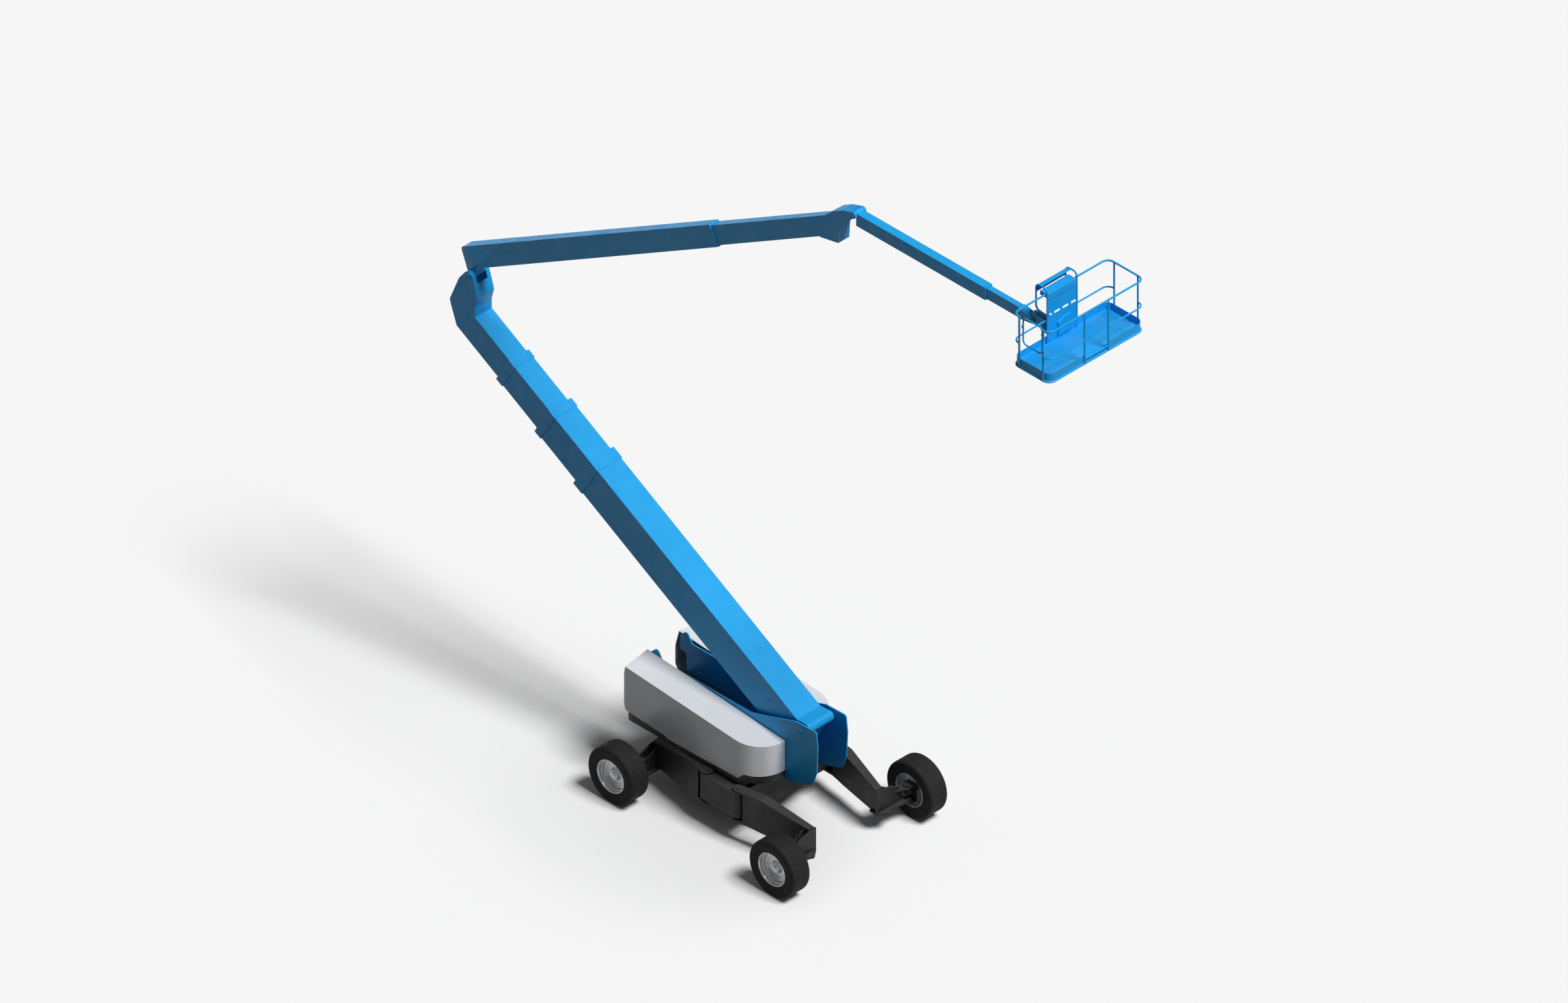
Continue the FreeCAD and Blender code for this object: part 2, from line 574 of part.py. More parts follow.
def lower_edge(drop):
    """The stepped lower edge of a cover in side view, lowered by a formula."""
    edge = [("cover_rear_x - 300", "cover_low_rear"), ("cover_step_x", "cover_low + 40"),
            ("cover_step_x + 100", "cover_low"), ("cover_nose_x", "cover_low + 34"),
            ("cover_nose_x + 120", "cover_low_front"), ("cover_front_x + 50", "cover_low_front")]
    return [(x, f"{z} - {drop}") for x, z in edge]


def cover_solid(name, side, inset, inner, low):
    """The solid inside or outside of a cover: its rear face swells and its top slopes down to the front."""
    body = new_body(name)
    slab(body, [cover_plan(side, inset, inner, "cover_bulge")], low, "cover_rear_top + 20")
    slope = [("cover_rear_x - 300", f"cover_rear_top - {inset} + 23"),
             ("cover_front_x + 50", f"cover_front_top - {inset}"),
             ("cover_front_x + 50", "cover_rear_top + 90"), ("cover_rear_x - 300", "cover_rear_top + 90")]
    pocket(body, "XZ_Plane", [slope], "4000", middle=True)
    rear = f"(cover_rear_x - cover_in_y * tan(cover_slant)) * cos(cover_slant) + {inset}"
    far, back = f"{rear} - cover_bulge - 90", f"{rear} - cover_bulge"
    swell = [(far, "cover_rear_top + 90"), (rear, "cover_rear_top + 90"), (rear, "cover_rear_top + 10"),
             (back, "cover_rear_top - 360", "500"), (back, "cover_low_rear + 170", "160"),
             (rear, "cover_low_rear - 20"), (rear, "cover_low - 90"), (far, "cover_low - 90")]
    pocket(body, "XZ_Plane", [swell], "4000", middle=True, turn=f"{-side} * cover_slant")
    return body


def covers_and_decks():
    """Hinged covers over a floor with a skirt, and what stands under the covers."""
    for name, side in (("left", 1), ("right", -1)):
        outside = cover_solid(f"cover_{name}_outside", side, "0", "cover_in_y", "cover_low - 30")
        below = lower_edge("0") + [("cover_front_x + 50", "cover_low - 60"), ("cover_rear_x - 300", "cover_low - 60")]
        pocket(outside, "XZ_Plane", [below], "4000", middle=True)
        inside = cover_solid(f"cover_{name}_inside", side, "cover_t", "cover_in_y - 50", "cover_low - 50")
        node(combine("Part::Cut", f"cover_{name}", outside, inside), f"cover_{name}")
        deck = new_body(f"deck_{name}")
        slab(deck, [cover_plan(side, "6", "side_y + side_t / 2")], "deck_low", "cover_low_front")
        pocket(deck, "XY_Plane", [cover_plan(side, "(6 + deck_wall_t)", "side_y + side_t / 2 + deck_wall_t")],
               "cover_low_front", "deck_low + deck_floor_t", reverse=True)
        above = lower_edge("fit") + [("cover_front_x + 50", "cover_low_front + 60"),
                                   ("cover_rear_x - 300", "cover_low_front + 60")]
        pocket(deck, "XZ_Plane", [above], "4000", middle=True)
        nose = rectangle("cover_nose_x + 140", "deck_low - 50", "cover_front_x + 50", "deck_front_low")
        pocket(deck, "XZ_Plane", [nose], "4000", middle=True)
        node(deck, f"deck_{name}")
    blocks = (("engine_block", 1, "-1500", "-200", "2080"), ("fuel_tank", -1, "-1700", "-500", "2000"))
    for label, side, rear, front, top in blocks:
        body = new_body(label)
        slab(body, [[(rear, f"{side} * 480"), (front, f"{side} * 480"), (front, f"{side} * 960", "60"),
                     (rear, f"{side} * 960", "60")]], "deck_low + deck_floor_t", top)
        node(body, label)


LOWER_BASE = ("slew_x + foot_x", "0", "foot_z")


def lower_tube(label, number, start, end, collar):
    """One telescoping section of the lower boom with its collar, open at the outer end."""
    body = new_body(label, LOWER_BASE, ACROSS, "lower_lift")
    wide, high = f"lower_w{number}", f"lower_h{number}"
    low, top = f"lower_axis - {high} / 2", f"lower_axis + {high} / 2"
    if number == 1:
        foot = [("foot_boss_r / 2", low), ("foot_boss_r / 2", "20"), ("-35", "foot_boss_r"), ("-243", top),
                (f"-{end}", top), (f"-{end}", low)]
        pad(body, "XZ_Plane", [foot], wide, middle=True)
        doubler = [("-20", f"{low} + 5"), ("-715", f"{low} + 5"), ("-990", "lower_axis - 27", "60"),
                   ("-635", f"{top} - 5"), ("-250", f"{top} - 5"), ("-35", "foot_boss_r - 5"), ("-20", "0")]
        pad(body, "XZ_Plane", [doubler], "lower_w1 + 2 * doubler_t", middle=True)
        pad(body, "XZ_Plane", [("0", "0", "foot_boss_r")], "lower_w1 + 30", middle=True)
        pocket(body, "XZ_Plane", [("0", "0", "foot_pin_r + pin_fit")], "lower_w1 * 2", middle=True)
    else:
        pad(body, "XZ_Plane", [rectangle(f"-{end}", low, f"-{start}", top)], wide, middle=True)
    if collar:
        pad(body, "XZ_Plane", [rectangle(f"-{end}", f"{low} - collar_step", f"-{end} + {collar}",
                                         f"{top} + collar_step")], f"{wide} + 2 * collar_step", middle=True)
        inner = number + 1
        hole = rectangle(f"-lower_w{inner} / 2 - fit", f"lower_axis - lower_h{inner} / 2 - fit",
                         f"lower_w{inner} / 2 + fit", f"lower_axis + lower_h{inner} / 2 + fit")
        pocket(body, "YZ_Plane", [hole], f"{collar} + 5", f"-{end}", reverse=True)
    stop = f"{end} - {start} - 20" if number > 1 else f"{end} - foot_boss_r - 25"
    skip = collar if collar else "-10"
    cavity = rectangle(f"-{wide} / 2 + lower_wall", f"{low} + lower_wall", f"{wide} / 2 - lower_wall",
                       f"{top} - lower_wall")
    pocket(body, "YZ_Plane", [cavity], f"{stop} - ({skip})", f"-{end} + {skip}", reverse=True)
    return node(body, label)


def lower_boom():
    """Four telescoping sections from the foot pin to the knuckle."""
    lower_tube("lower_boom_1", 1, "0", "lower_end1", "collar_l1")
    lower_tube("lower_boom_2", 2, "lower_start2", "lower_end2", "collar_l2")
    lower_tube("lower_boom_3", 3, "lower_start3", "lower_end3", "collar_l2")
    lower_tube("lower_boom_4", 4, "lower_start4", "lower_end4", None)


PIN_S = "(lower_end4 + knuckle_out)"


def knuckle_head():
    """Head of the lower boom, with a slot between two cheeks for the foot of the upper boom."""
    body = new_body("knuckle_head", LOWER_BASE, ACROSS, "lower_lift")
    low, top = "lower_axis - lower_h4 / 2", "lower_axis + lower_h4 / 2"
    outline = [("-lower_end4", low), ("-lower_end4 - 200", low, "40"), (f"-{PIN_S} + 45", "lower_axis - 20"),
               (f"-{PIN_S} - 35", "lower_axis + 60", "60"), (f"-{PIN_S} - 118", "260", "200"),
               (f"-{PIN_S} - 60", "knuckle_pin_n + 170", "110"), (f"-{PIN_S} + 210", "470", "200"),
               (f"-{PIN_S} + 395", "300", "120"), (f"-{PIN_S} + 455", "70", "150"),
               ("-lower_end4", top)]
    pad(body, "XZ_Plane", [outline], "lower_w4", middle=True)
    slot = [("-lower_end4 - 185", "-50"), ("-lower_end4 - 250", "290"), (f"-{PIN_S} + 200", "420"),
            (f"-{PIN_S} + 200", "knuckle_pin_n + 250"), (f"-{PIN_S} - 250", "knuckle_pin_n + 250"),
            (f"-{PIN_S} - 250", "-50")]
    pocket(body, "XZ_Plane", [slot], "slot_w", middle=True)
    pocket(body, "XZ_Plane", [(f"-{PIN_S}", "knuckle_pin_n", "knuckle_pin_r + pin_fit")], "lower_w4 * 2",
           middle=True)
    node(body, "knuckle_head")


LOWER_C, LOWER_S = "cos(lower_lift)", "sin(lower_lift)"
KNUCKLE_X = f"foot_x - {PIN_S} * {LOWER_C} + knuckle_pin_n * {LOWER_S}"
KNUCKLE_Z = f"foot_z + {PIN_S} * {LOWER_S} + knuckle_pin_n * {LOWER_C}"
UPPER_BASE = (f"slew_x + {KNUCKLE_X}", "0", KNUCKLE_Z)


def upper_boom():
    """Two telescoping sections from the knuckle pin to the head."""
    cross_pin("knuckle_pin", "knuckle_pin_r", "lower_w4 / 2 + 12", UPPER_BASE)
    low, top = "upper_axis - upper_h1 / 2", "upper_axis + upper_h1 / 2"
    first = new_body("upper_boom_1", UPPER_BASE, ACROSS, "-upper_lift")
    pad(first, "XZ_Plane", [[("-105", low), ("upper_end1", low), ("upper_end1", top), ("-40", top, "60")]],
        "upper_w1", middle=True)
    pad(first, "XZ_Plane", [[("-upper_boss_r", "0"), ("0", "-upper_boss_r", "upper_boss_r * 0.4"),
                             ("upper_boss_r + 90", f"{low} + 10"), ("-104", f"{low} + 10")]],
        "upper_w1", middle=True)
    pad(first, "XZ_Plane", [("0", "0", "upper_boss_r")], "upper_w1", middle=True)
    pocket(first, "XZ_Plane", [("0", "0", "knuckle_pin_r + pin_fit")], "upper_w1 * 2", middle=True)
    opening = rectangle("-upper_w2 / 2 - fit", "upper_axis - upper_h2 / 2 - fit", "upper_w2 / 2 + fit",
                        "upper_axis + upper_h2 / 2 + fit")
    pocket(first, "YZ_Plane", [opening], "upper_frame_l + 5", "upper_end1")
    cavity = rectangle("-upper_w1 / 2 + upper_wall", f"{low} + upper_wall", "upper_w1 / 2 - upper_wall",
                       f"{top} - upper_wall")
    pocket(first, "YZ_Plane", [cavity], "upper_end1 - upper_frame_l - 350", "upper_end1 - upper_frame_l")
    node(first, "upper_boom_1")
    second = new_body("upper_boom_2", UPPER_BASE, ACROSS, "-upper_lift")
    low2, top2 = "upper_axis - upper_h2 / 2", "upper_axis + upper_h2 / 2"
    pad(second, "XZ_Plane", [rectangle("upper_start2", low2, "upper_end2", top2)], "upper_w2", middle=True)
    cavity = rectangle("-upper_w2 / 2 + upper_wall", f"{low2} + upper_wall", "upper_w2 / 2 - upper_wall",
                       f"{top2} - upper_wall")
    pocket(second, "YZ_Plane", [cavity], "upper_end2 - upper_start2 - 30", "upper_start2", reverse=True)
    node(second, "upper_boom_2")
    upper_head()


def upper_head():
    """Fan-shaped box head whose forked nose carries the jib."""
    body = new_body("upper_boom_head", UPPER_BASE, ACROSS, "-upper_lift")
    outline = [("10243", "95"), ("10690", "-52"), ("10912", "276"), ("jib_pin_t + nose_r", "jib_pin_m - 40"),
               ("jib_pin_t + nose_r * 0.5", "jib_pin_m + nose_r * 0.87"),
               ("11144", "563"), ("10883", "564"), ("10615", "500"), ("10235", "255")]
    pad(body, "XZ_Plane", [outline], "head_w", middle=True)
    pad(body, "XZ_Plane", [("jib_pin_t", "jib_pin_m", "nose_r")], "head_w", middle=True)
    slot = [("jib_pin_t - 45", "jib_pin_m + 96"), ("jib_pin_t - 45", "jib_pin_m + 250"),
            ("jib_pin_t + 200", "jib_pin_m + 250"), ("jib_pin_t + 200", "-150"), ("11010", "-150"),
            ("11000", "232"), ("jib_pin_t - 168", "327")]
    pocket(body, "XZ_Plane", [slot], "jib_w1 + 12", middle=True)
    sheath = rectangle("-upper_w2 / 2 - fit", "upper_axis - upper_h2 / 2 - fit", "upper_w2 / 2 + fit",
                       "upper_axis + upper_h2 / 2 + fit")
    pocket(body, "YZ_Plane", [sheath], "upper_end2 + fit - 10000", "10000", reverse=True)
    pocket(body, "XZ_Plane", [("jib_pin_t", "jib_pin_m", "jib_pin_r + pin_fit")], "head_w * 2", middle=True)
    node(body, "upper_boom_head")


UPPER_C, UPPER_S = "cos(upper_lift)", "sin(upper_lift)"
JIB_X = f"{KNUCKLE_X} + jib_pin_t * {UPPER_C} - jib_pin_m * {UPPER_S}"
JIB_Z = f"{KNUCKLE_Z} + jib_pin_t * {UPPER_S} + jib_pin_m * {UPPER_C}"
JIB_BASE = (f"slew_x + {JIB_X}", "0", JIB_Z)


def jib():
    """Telescoping jib on the head, with cheeks for the levelling link at its end."""
    cross_pin("jib_pin", "jib_pin_r", "head_w / 2 + 10", JIB_BASE)
    low, top = "jib_axis - jib_h1 / 2", "jib_axis + jib_h1 / 2"
    first = new_body("jib_1", JIB_BASE)
    pad(first, "XZ_Plane", [rectangle("jib_foot_x", low, "jib_end1", top)], "jib_w1", middle=True)
    pad(first, "XZ_Plane", [("0", "0", "nose_r")], "jib_w1", middle=True)
    pocket(first, "XZ_Plane", [("0", "0", "jib_pin_r + pin_fit")], "jib_w1 * 2", middle=True)
    opening = rectangle("-jib_w2 / 2 - fit", "jib_axis - jib_h2 / 2 - fit", "jib_w2 / 2 + fit",
                        "jib_axis + jib_h2 / 2 + fit")
    pocket(first, "YZ_Plane", [opening], "jib_frame_l + 5", "jib_end1")
    cavity = rectangle("-jib_w1 / 2 + jib_wall", f"{low} + jib_wall", "jib_w1 / 2 - jib_wall", f"{top} - jib_wall")
    pocket(first, "YZ_Plane", [cavity], "jib_end1 - jib_frame_l - 200", "jib_end1 - jib_frame_l")
    node(first, "jib_1")
    second = new_body("jib_2", JIB_BASE)
    low2, top2 = "jib_axis - jib_h2 / 2", "jib_axis + jib_h2 / 2"
    pad(second, "XZ_Plane", [rectangle("jib_start2", low2, "jib_end2", top2)], "jib_w2", middle=True)
    cavity = rectangle("-jib_w2 / 2 + jib_wall", f"{low2} + jib_wall", "jib_w2 / 2 - jib_wall", f"{top2} - jib_wall")
    pocket(second, "YZ_Plane", [cavity], "jib_end2 - jib_start2 - 30", "jib_start2", reverse=True)
    node(second, "jib_2")
    cheeks = new_body("jib_head", JIB_BASE)
    cheek = [("jib_end2 - 160", low2), ("level_pin_x", "level_pin_z - link_r"),
             ("level_pin_x", "level_pin_z + link_r"), ("jib_end2 - 160", top2)]
    pad(cheeks, "XZ_Plane", [cheek], "jib_w2 + 2 * cheek_t", middle=True)
    pad(cheeks, "XZ_Plane", [("level_pin_x", "level_pin_z", "link_r")], "jib_w2 + 2 * cheek_t", middle=True)
    for left, right, width in (("jib_end2 - 400", "jib_end2", "jib_w2"),
                               ("jib_end2 + 12", "level_pin_x + 300", "jib_w2 + 2 * fit")):
        pocket(cheeks, "XZ_Plane", [rectangle(left, "level_pin_z - 300", right, "level_pin_z + 300")],
               width, middle=True)
    pocket(cheeks, "XZ_Plane", [("level_pin_x", "level_pin_z", "level_pin_r + pin_fit")], "jib_w2 * 3",
           middle=True)
    node(cheeks, "jib_head")


LEVEL_X = f"{JIB_X} + level_pin_x"
LEVEL_Z = f"{JIB_Z} + level_pin_z"
LEVEL_BASE = (f"slew_x + {LEVEL_X}", "0", LEVEL_Z)


def platform_link():
    """Levelling link between the jib and the platform, with the rotator at its front."""
    cross_pin("level_pin", "level_pin_r", "jib_w2 / 2 + cheek_t + 8", LEVEL_BASE)
    body = new_body("platform_link", LEVEL_BASE)
    box = [("-45", "-50"), ("turn_x", "turn_low"), ("turn_x", "link_top + 98", "40"), ("-20", "link_top + 98"),
           ("-45", "50")]
    pad(body, "XZ_Plane", [box], "jib_w2 - 6", middle=True)
    pad(body, "XZ_Plane", [("0", "0", "link_r")], "jib_w2 - 6", middle=True)
    slab(body, [("turn_x", "0", "turn_r")], "turn_low", "link_top + 98")
    slab(body, [("turn_x", "0", "turn_pin_r")], "turn_low - bracket_t - 4", "link_top + 98 + bracket_t + 4")
    pocket(body, "XZ_Plane", [("0", "0", "level_pin_r + pin_fit")], "jib_w2 * 2", middle=True)
    node(body, "platform_link")


TURN_BASE = (f"slew_x + {LEVEL_X} + turn_x", "0", LEVEL_Z)
PLATFORM_BASE = (TURN_BASE[0], "platform_y", LEVEL_Z)


def platform_support():
    """Bracket round the rotator and the beams under the platform floor."""
    body = new_body("platform_support", TURN_BASE)
    reach = "platform_x - 60"
    plate = [("0", "-turn_r"), (reach, "-turn_r - 30"), (reach, "turn_r + 30"), ("0", "turn_r")]
    levels = (("turn_low - fit - bracket_t", "turn_low - fit"),
              ("link_top + 98 + fit", "link_top + 98 + fit + bracket_t"))
    for low, top in levels:
        slab(body, [plate], low, top)
        slab(body, [("0", "0", "turn_r")], low, top)
    slab(body, [rectangle("turn_r + 30", "-turn_r", reach, "turn_r")], levels[0][0], levels[1][1])
    pocket(body, "XY_Plane", [("0", "0", "turn_pin_r + pin_fit")], "600", "-300", reverse=True)
    beam = "base_rail_z - rail_r"
    span = "platform_w * 0.29"
    slab(body, [rectangle("platform_x - 80", f"-{span}", "platform_x - 20", span)], "turn_low - 80", "turn_low - fit")
    for side in (-1, 1):
        edge = f"{side} * ({span} - 30)"
        slab(body, [rectangle("platform_x - 80", f"{edge} - 30", "platform_x + platform_l - 150", f"{edge} + 30")],
             f"{beam} - 60", beam)
    slab(body, [rectangle("platform_x - 80", f"-{span}", "platform_x - 20", span)], f"{beam} - 60", beam)
    node(body, "platform_support")


BEND_RUNS = 3


def bend_points(points, bend, closed):
    """The corners of a path, each replaced by the ends of short runs round its bend."""
    bent = []
    for number, here in enumerate(points):
        if not closed and number in (0, len(points) - 1):
            bent.append(here)
            continue
        back = (points[number - 1] - here).normalize()
        ahead = (points[(number + 1) % len(points)] - here).normalize()
        half = back.getAngle(ahead) / 2
        centre = here + (back + ahead).normalize() * (bend / math.sin(half))
        spoke = here + back * (bend / math.tan(half)) - centre
        axis = ahead.cross(back).normalize()
        turn = 180 - 2 * math.degrees(half)
        bent += [centre + FreeCAD.Rotation(axis, turn * run / BEND_RUNS).multVec(spoke)
                 for run in range(BEND_RUNS + 1)]
    return bent


def bent_tube(points, radius, bend, closed=False):
    """A round tube along a path, its bends made of short mitred runs."""
    path = bend_points(points, bend, closed)
    if closed:
        seam = (path[-1] + path[0]) * 0.5
        path = [seam] + path + [seam]
    along = (path[1] - path[0]).normalize()
    section = Part.Wire([Part.Circle(path[0], along, radius).toShape()])
    tube = Part.makePolygon(path).makePipeShell([section], True, False, 1)
    if tube.Volume < 0:
        tube.reverse()
    return tube


def tube_node(label, tubes, base):
    """One piece of tubes fused together or kept side by side, placed as the platform is."""
    piece = doc.addObject("Part::Feature", label)
    piece.Shape = tubes[0].multiFuse(tubes[1:]) if len(tubes) > 1 else tubes[0]
    place(piece, base)
    return node(piece, label)


def rod(start, finish, radius):
    """A straight round bar between two points."""
    along = finish - start
    return Part.makeCylinder(radius, along.Length, start, along)


def platform():
    """Floor tray with toe boards, guard rails, the end gate, the control hoops and the console."""
    base = value("base_rail_z")
    near, far = value("platform_x + rail_r"), value("platform_x + platform_l - rail_r")
    side, bend = value("platform_w / 2 - rail_r"), value("rail_bend_r")
    rail_r, post_r, mid_r = value("rail_r"), value("rail_r - 1.5"), value("rail_r - 3")
    middle, reach = (near + far) / 2, value(POST_X)
    top, mid = base + value("top_rail_h"), base + value("mid_rail_h")
    back, front, entry = middle - reach, middle + reach, value("entry_y")
    hoop_near = value("console_y - console_w / 2")
    hoop_far = value("console_y + console_w / 2")
    fit = value("fit")

    def rail(height, points, radius, closed=False):
        """A level rail through points in plan."""
        return bent_tube([V(x, y, height) for x, y in points], radius, bend, closed)

    def base_and_top(radius):
        """The base rail, and the top rail in two lengths."""
        corners = [(near, -side), (far, -side), (far, side), (near, side)]
        return [rail(base, corners, radius, closed=True),
                rail(top, [(back, -side), (near, -side), (near, hoop_near)], radius),
                rail(top, [(near, hoop_far), (near, side), (far, side), (far, -side), (front, -side)], radius)]

    def trimmed(tubes, cutters):
        """Each tube with its ends shaped to the tubes that it meets."""
        return [solid for tube in tubes for solid in tube.cut(cutters).Solids]

    gate_posts = [(back, -side), (front, -side)]
    other_posts = [(back, side), (front, side), (far, -entry), (far, entry)]
    mids = [rail(mid, [(back, -side), (near, -side), (near, hoop_near)], mid_r),
            rail(mid, [(near, hoop_far), (near, side), (back, side)], mid_r),
            rail(mid, [(front, side), (far, side), (far, entry)], mid_r),
            rail(mid, [(far, -entry), (far, -side), (front, -side)], mid_r),
            rod(V(far, -entry, base + value("sill_h")), V(far, entry, base + value("sill_h")), mid_r)]
    seats = base_and_top(rail_r + fit)
    clear = [rod(V(x, y, base), V(x, y, top + rail_r), rail_r + 1 + fit) for x, y in gate_posts]
    posts = trimmed([rod(V(x, y, base), V(x, y, top), post_r) for x, y in other_posts], seats)
    posts += trimmed([rod(V(x, y, base), V(x, y, top + rail_r), rail_r + 1) for x, y in gate_posts], seats[:1])
    loop, *tops = base_and_top(rail_r)
    tube_node("platform_base_rail", [loop], PLATFORM_BASE)
    tube_node("platform_top_rails", trimmed(tops, clear), PLATFORM_BASE)
    around = clear + [rod(V(x, y, base), V(x, y, top), post_r + fit) for x, y in other_posts]
    tube_node("platform_mid_rails", trimmed(mids, around), PLATFORM_BASE)
    tube_node("platform_posts", posts, PLATFORM_BASE)
    tray()
    gate(top, side, back, front)
    console(base, near)


POST_X = "platform_l / 2 - rail_bend_r - post_in"


def tray():
    """Floor plate with a toe board all round but for the entry, standing on the base rail."""
    body = new_body("platform_floor", PLATFORM_BASE)
    outer, inner = [], []
    for corners, inset in ((outer, "toe_in"), (inner, "(toe_in + toe_t)")):
        left, right = f"platform_x + rail_r + {inset}", f"platform_x + platform_l - rail_r - {inset}"
        half, bend = f"platform_w / 2 - rail_r - {inset}", f"rail_bend_r - {inset}"
        corners += [(left, f"-({half})", bend), (right, f"-({half})", bend), (right, half, bend),
                    (left, half, bend)]
    slab(body, [outer], "base_rail_z + rail_r", "base_rail_z + rail_r + toe_h")
    pocket(body, "XY_Plane", [inner], "toe_h", "base_rail_z + rail_r + floor_t", reverse=True)
    opening = rectangle("platform_x + platform_l - 90", "-entry_y", "platform_x + platform_l", "entry_y")
    pocket(body, "XY_Plane", [opening], "toe_h", "base_rail_z + rail_r + floor_t", reverse=True)
    for x in (f"-({POST_X})", POST_X):
        for y in ("-1", "1"):
            pocket(body, "XY_Plane", [(f"platform_x + platform_l / 2 + {x}", f"{y} * (platform_w / 2 - rail_r)",
                                       "rail_r + 1 + fit")], "toe_h + 30", "base_rail_z", reverse=True)
    for y in ("-entry_y", "entry_y"):
        pocket(body, "XY_Plane", [("platform_x + platform_l - rail_r", y, "rail_r + fit")], "toe_h + 30",
               "base_rail_z", reverse=True)
    node(body, "platform_floor")


def gate(top, side, back, front):
    """Gate loop in the end of the platform, with two hinge rings round its post."""
    radius, gap, inside = value("gate_r"), value("gate_gap"), value("gate_in") - side
    left, right, low = back + gap, front - gap, top - value("gate_h")
    points = [V(left, inside, low), V(right, inside, low), V(right, inside, top), V(left, inside, top)]
    pieces = [bent_tube(points, radius, value("rail_bend_r") * 0.6, closed=True)]
    bore_r, wall = value("rail_r + 1 + pin_fit"), 10
    ring_h, inset = value("hinge_h"), value("hinge_in")
    for height in (low + inset, top - inset):
        bore = Part.makeCylinder(bore_r, ring_h + 10, V(front, -side, height - ring_h / 2 - 5))
        ring = Part.makeCylinder(bore_r + wall, ring_h, V(front, -side, height - ring_h / 2))
        arm = Part.makeBox(gap + 2, value("gate_in") - 4, ring_h * 0.6, V(right - 2, 4 - side, height - ring_h * 0.3))
        pieces += [ring.fuse(arm).cut(bore)]
    tube_node("platform_gate", pieces, PLATFORM_BASE)


def console(base, near):
    """Two control hoops over the back rail, with the control box and two panels between them."""
    radius = value("hoop_r")
    leg = near + value("rail_r + hoop_r")
    back = leg - value("console_out")
    low, top = base + value("console_low"), base + value("console_top")
    floor = base + value("rail_r + floor_t + console_lift")
    sides = [value("console_y - console_w / 2"), value("console_y + console_w / 2")]
    hoops = []
    for y in sides:
        points = [V(leg, y, low), V(back, y, low + 30), V(back, y, top), V(leg, y, top), V(leg, y, floor)]
        hoops.append(bent_tube(points, radius, value("hoop_bend_r")))
    drop = value("bar_drop")
    hoops.append(rod(V(back, sides[0], top - drop), V(back, sides[1], top - drop), radius - 2))
    tube_node("platform_hoops", hoops, PLATFORM_BASE)
    body = new_body("platform_console", PLATFORM_BASE)
    half = "console_w / 2 - hoop_r"
    leg_x = "platform_x + 2 * rail_r + hoop_r"
    crown = "base_rail_z + console_top"
    split = "base_rail_z + console_low"
    box = rectangle(f"{leg_x} - 200", f"{crown} - 215", f"{leg_x} + 10", f"{crown} - 130")
    panel = rectangle(f"{leg_x} - 4", f"{split} + 25", f"{leg_x} + 4", f"{crown} - 215")
    lower = rectangle(f"{leg_x} - 4", "base_rail_z + rail_r + floor_t + console_lift", f"{leg_x} + 4",
                      f"{split} - 25")
    for shape in (box, panel, lower):
        pad(body, "XZ_Plane", [shape], f"2 * ({half})", "-console_y", middle=True)
    for y in ("-230", "-20", "190"):
        pad(body, "XZ_Plane", [rectangle(f"{leg_x} - 4", f"{split} - 26", f"{leg_x} + 4", f"{split} + 26")],
            "60", f"-console_y - ({y})", middle=True)
    case_low = "base_rail_z + 95"
    case = [("-115", case_low), ("215", case_low), ("215", f"{case_low} + 330"), ("195", f"{case_low} + 350"),
            ("45", f"{case_low} + 350"), ("-115", f"{case_low} + 290")]
    pad(body, "YZ_Plane", [case], "28", f"{leg_x} + 3")
    node(body, "platform_console")


def check():
    """Stop if anything in the document failed."""
    doc.recompute()
    for thing in doc.Objects:
        if "Invalid" in thing.State or "Error" in thing.State:
            raise ValueError(f"{thing.Name} failed: {thing.State}")
    for piece in NODES:
        if piece.Shape.isNull() or not piece.Shape.isValid():
            raise ValueError(f"{piece.Label} has no valid shape")


def export():
    """Write each piece to its own file."""
    os.makedirs("parts", exist_ok=True)
    for piece in NODES:
        piece.Shape.exportStep(f"parts/{piece.Label}.step")
        print(piece.Label, len(piece.Shape.Solids), round(piece.Shape.Volume / 1e9, 5))


chassis()
for corner_name, front_sign, side_sign in (("fl", 1, 1), ("fr", 1, -1), ("rl", -1, 1), ("rr", -1, -1)):
    axle_leg(f"axle_leg_{corner_name}", front_sign, side_sign)
    knuckle(f"steering_knuckle_{corner_name}", front_sign, side_sign)
    wheel(corner_name, front_sign, side_sign)
turret()
covers_and_decks()
lower_boom()
knuckle_head()
upper_boom()
jib()
platform_link()
platform_support()
platform()
check()
export()
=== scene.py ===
"""Finish, small hardware and studio of an articulated boom lift, in metres on the fixed frame."""

import json
import logging
import math
from dataclasses import dataclass, field
from enum import Enum
from typing import Iterable, Protocol

import bmesh
import bpy
from mathutils import Matrix, Vector


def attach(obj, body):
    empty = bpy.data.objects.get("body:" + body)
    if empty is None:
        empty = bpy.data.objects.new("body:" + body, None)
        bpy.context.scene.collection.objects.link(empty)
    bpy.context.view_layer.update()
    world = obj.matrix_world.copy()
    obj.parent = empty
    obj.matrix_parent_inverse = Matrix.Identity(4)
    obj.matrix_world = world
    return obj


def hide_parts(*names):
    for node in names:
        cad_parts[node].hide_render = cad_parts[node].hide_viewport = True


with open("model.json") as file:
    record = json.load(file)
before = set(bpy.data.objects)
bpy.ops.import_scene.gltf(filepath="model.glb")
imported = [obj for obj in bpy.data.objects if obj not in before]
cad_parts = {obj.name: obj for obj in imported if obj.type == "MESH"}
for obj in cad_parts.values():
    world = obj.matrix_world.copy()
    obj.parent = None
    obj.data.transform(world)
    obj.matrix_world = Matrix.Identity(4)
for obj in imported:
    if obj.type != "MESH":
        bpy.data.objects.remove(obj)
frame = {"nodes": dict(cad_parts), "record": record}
LOG = logging.getLogger("boom_lift")
Colour = tuple[float, float, float]
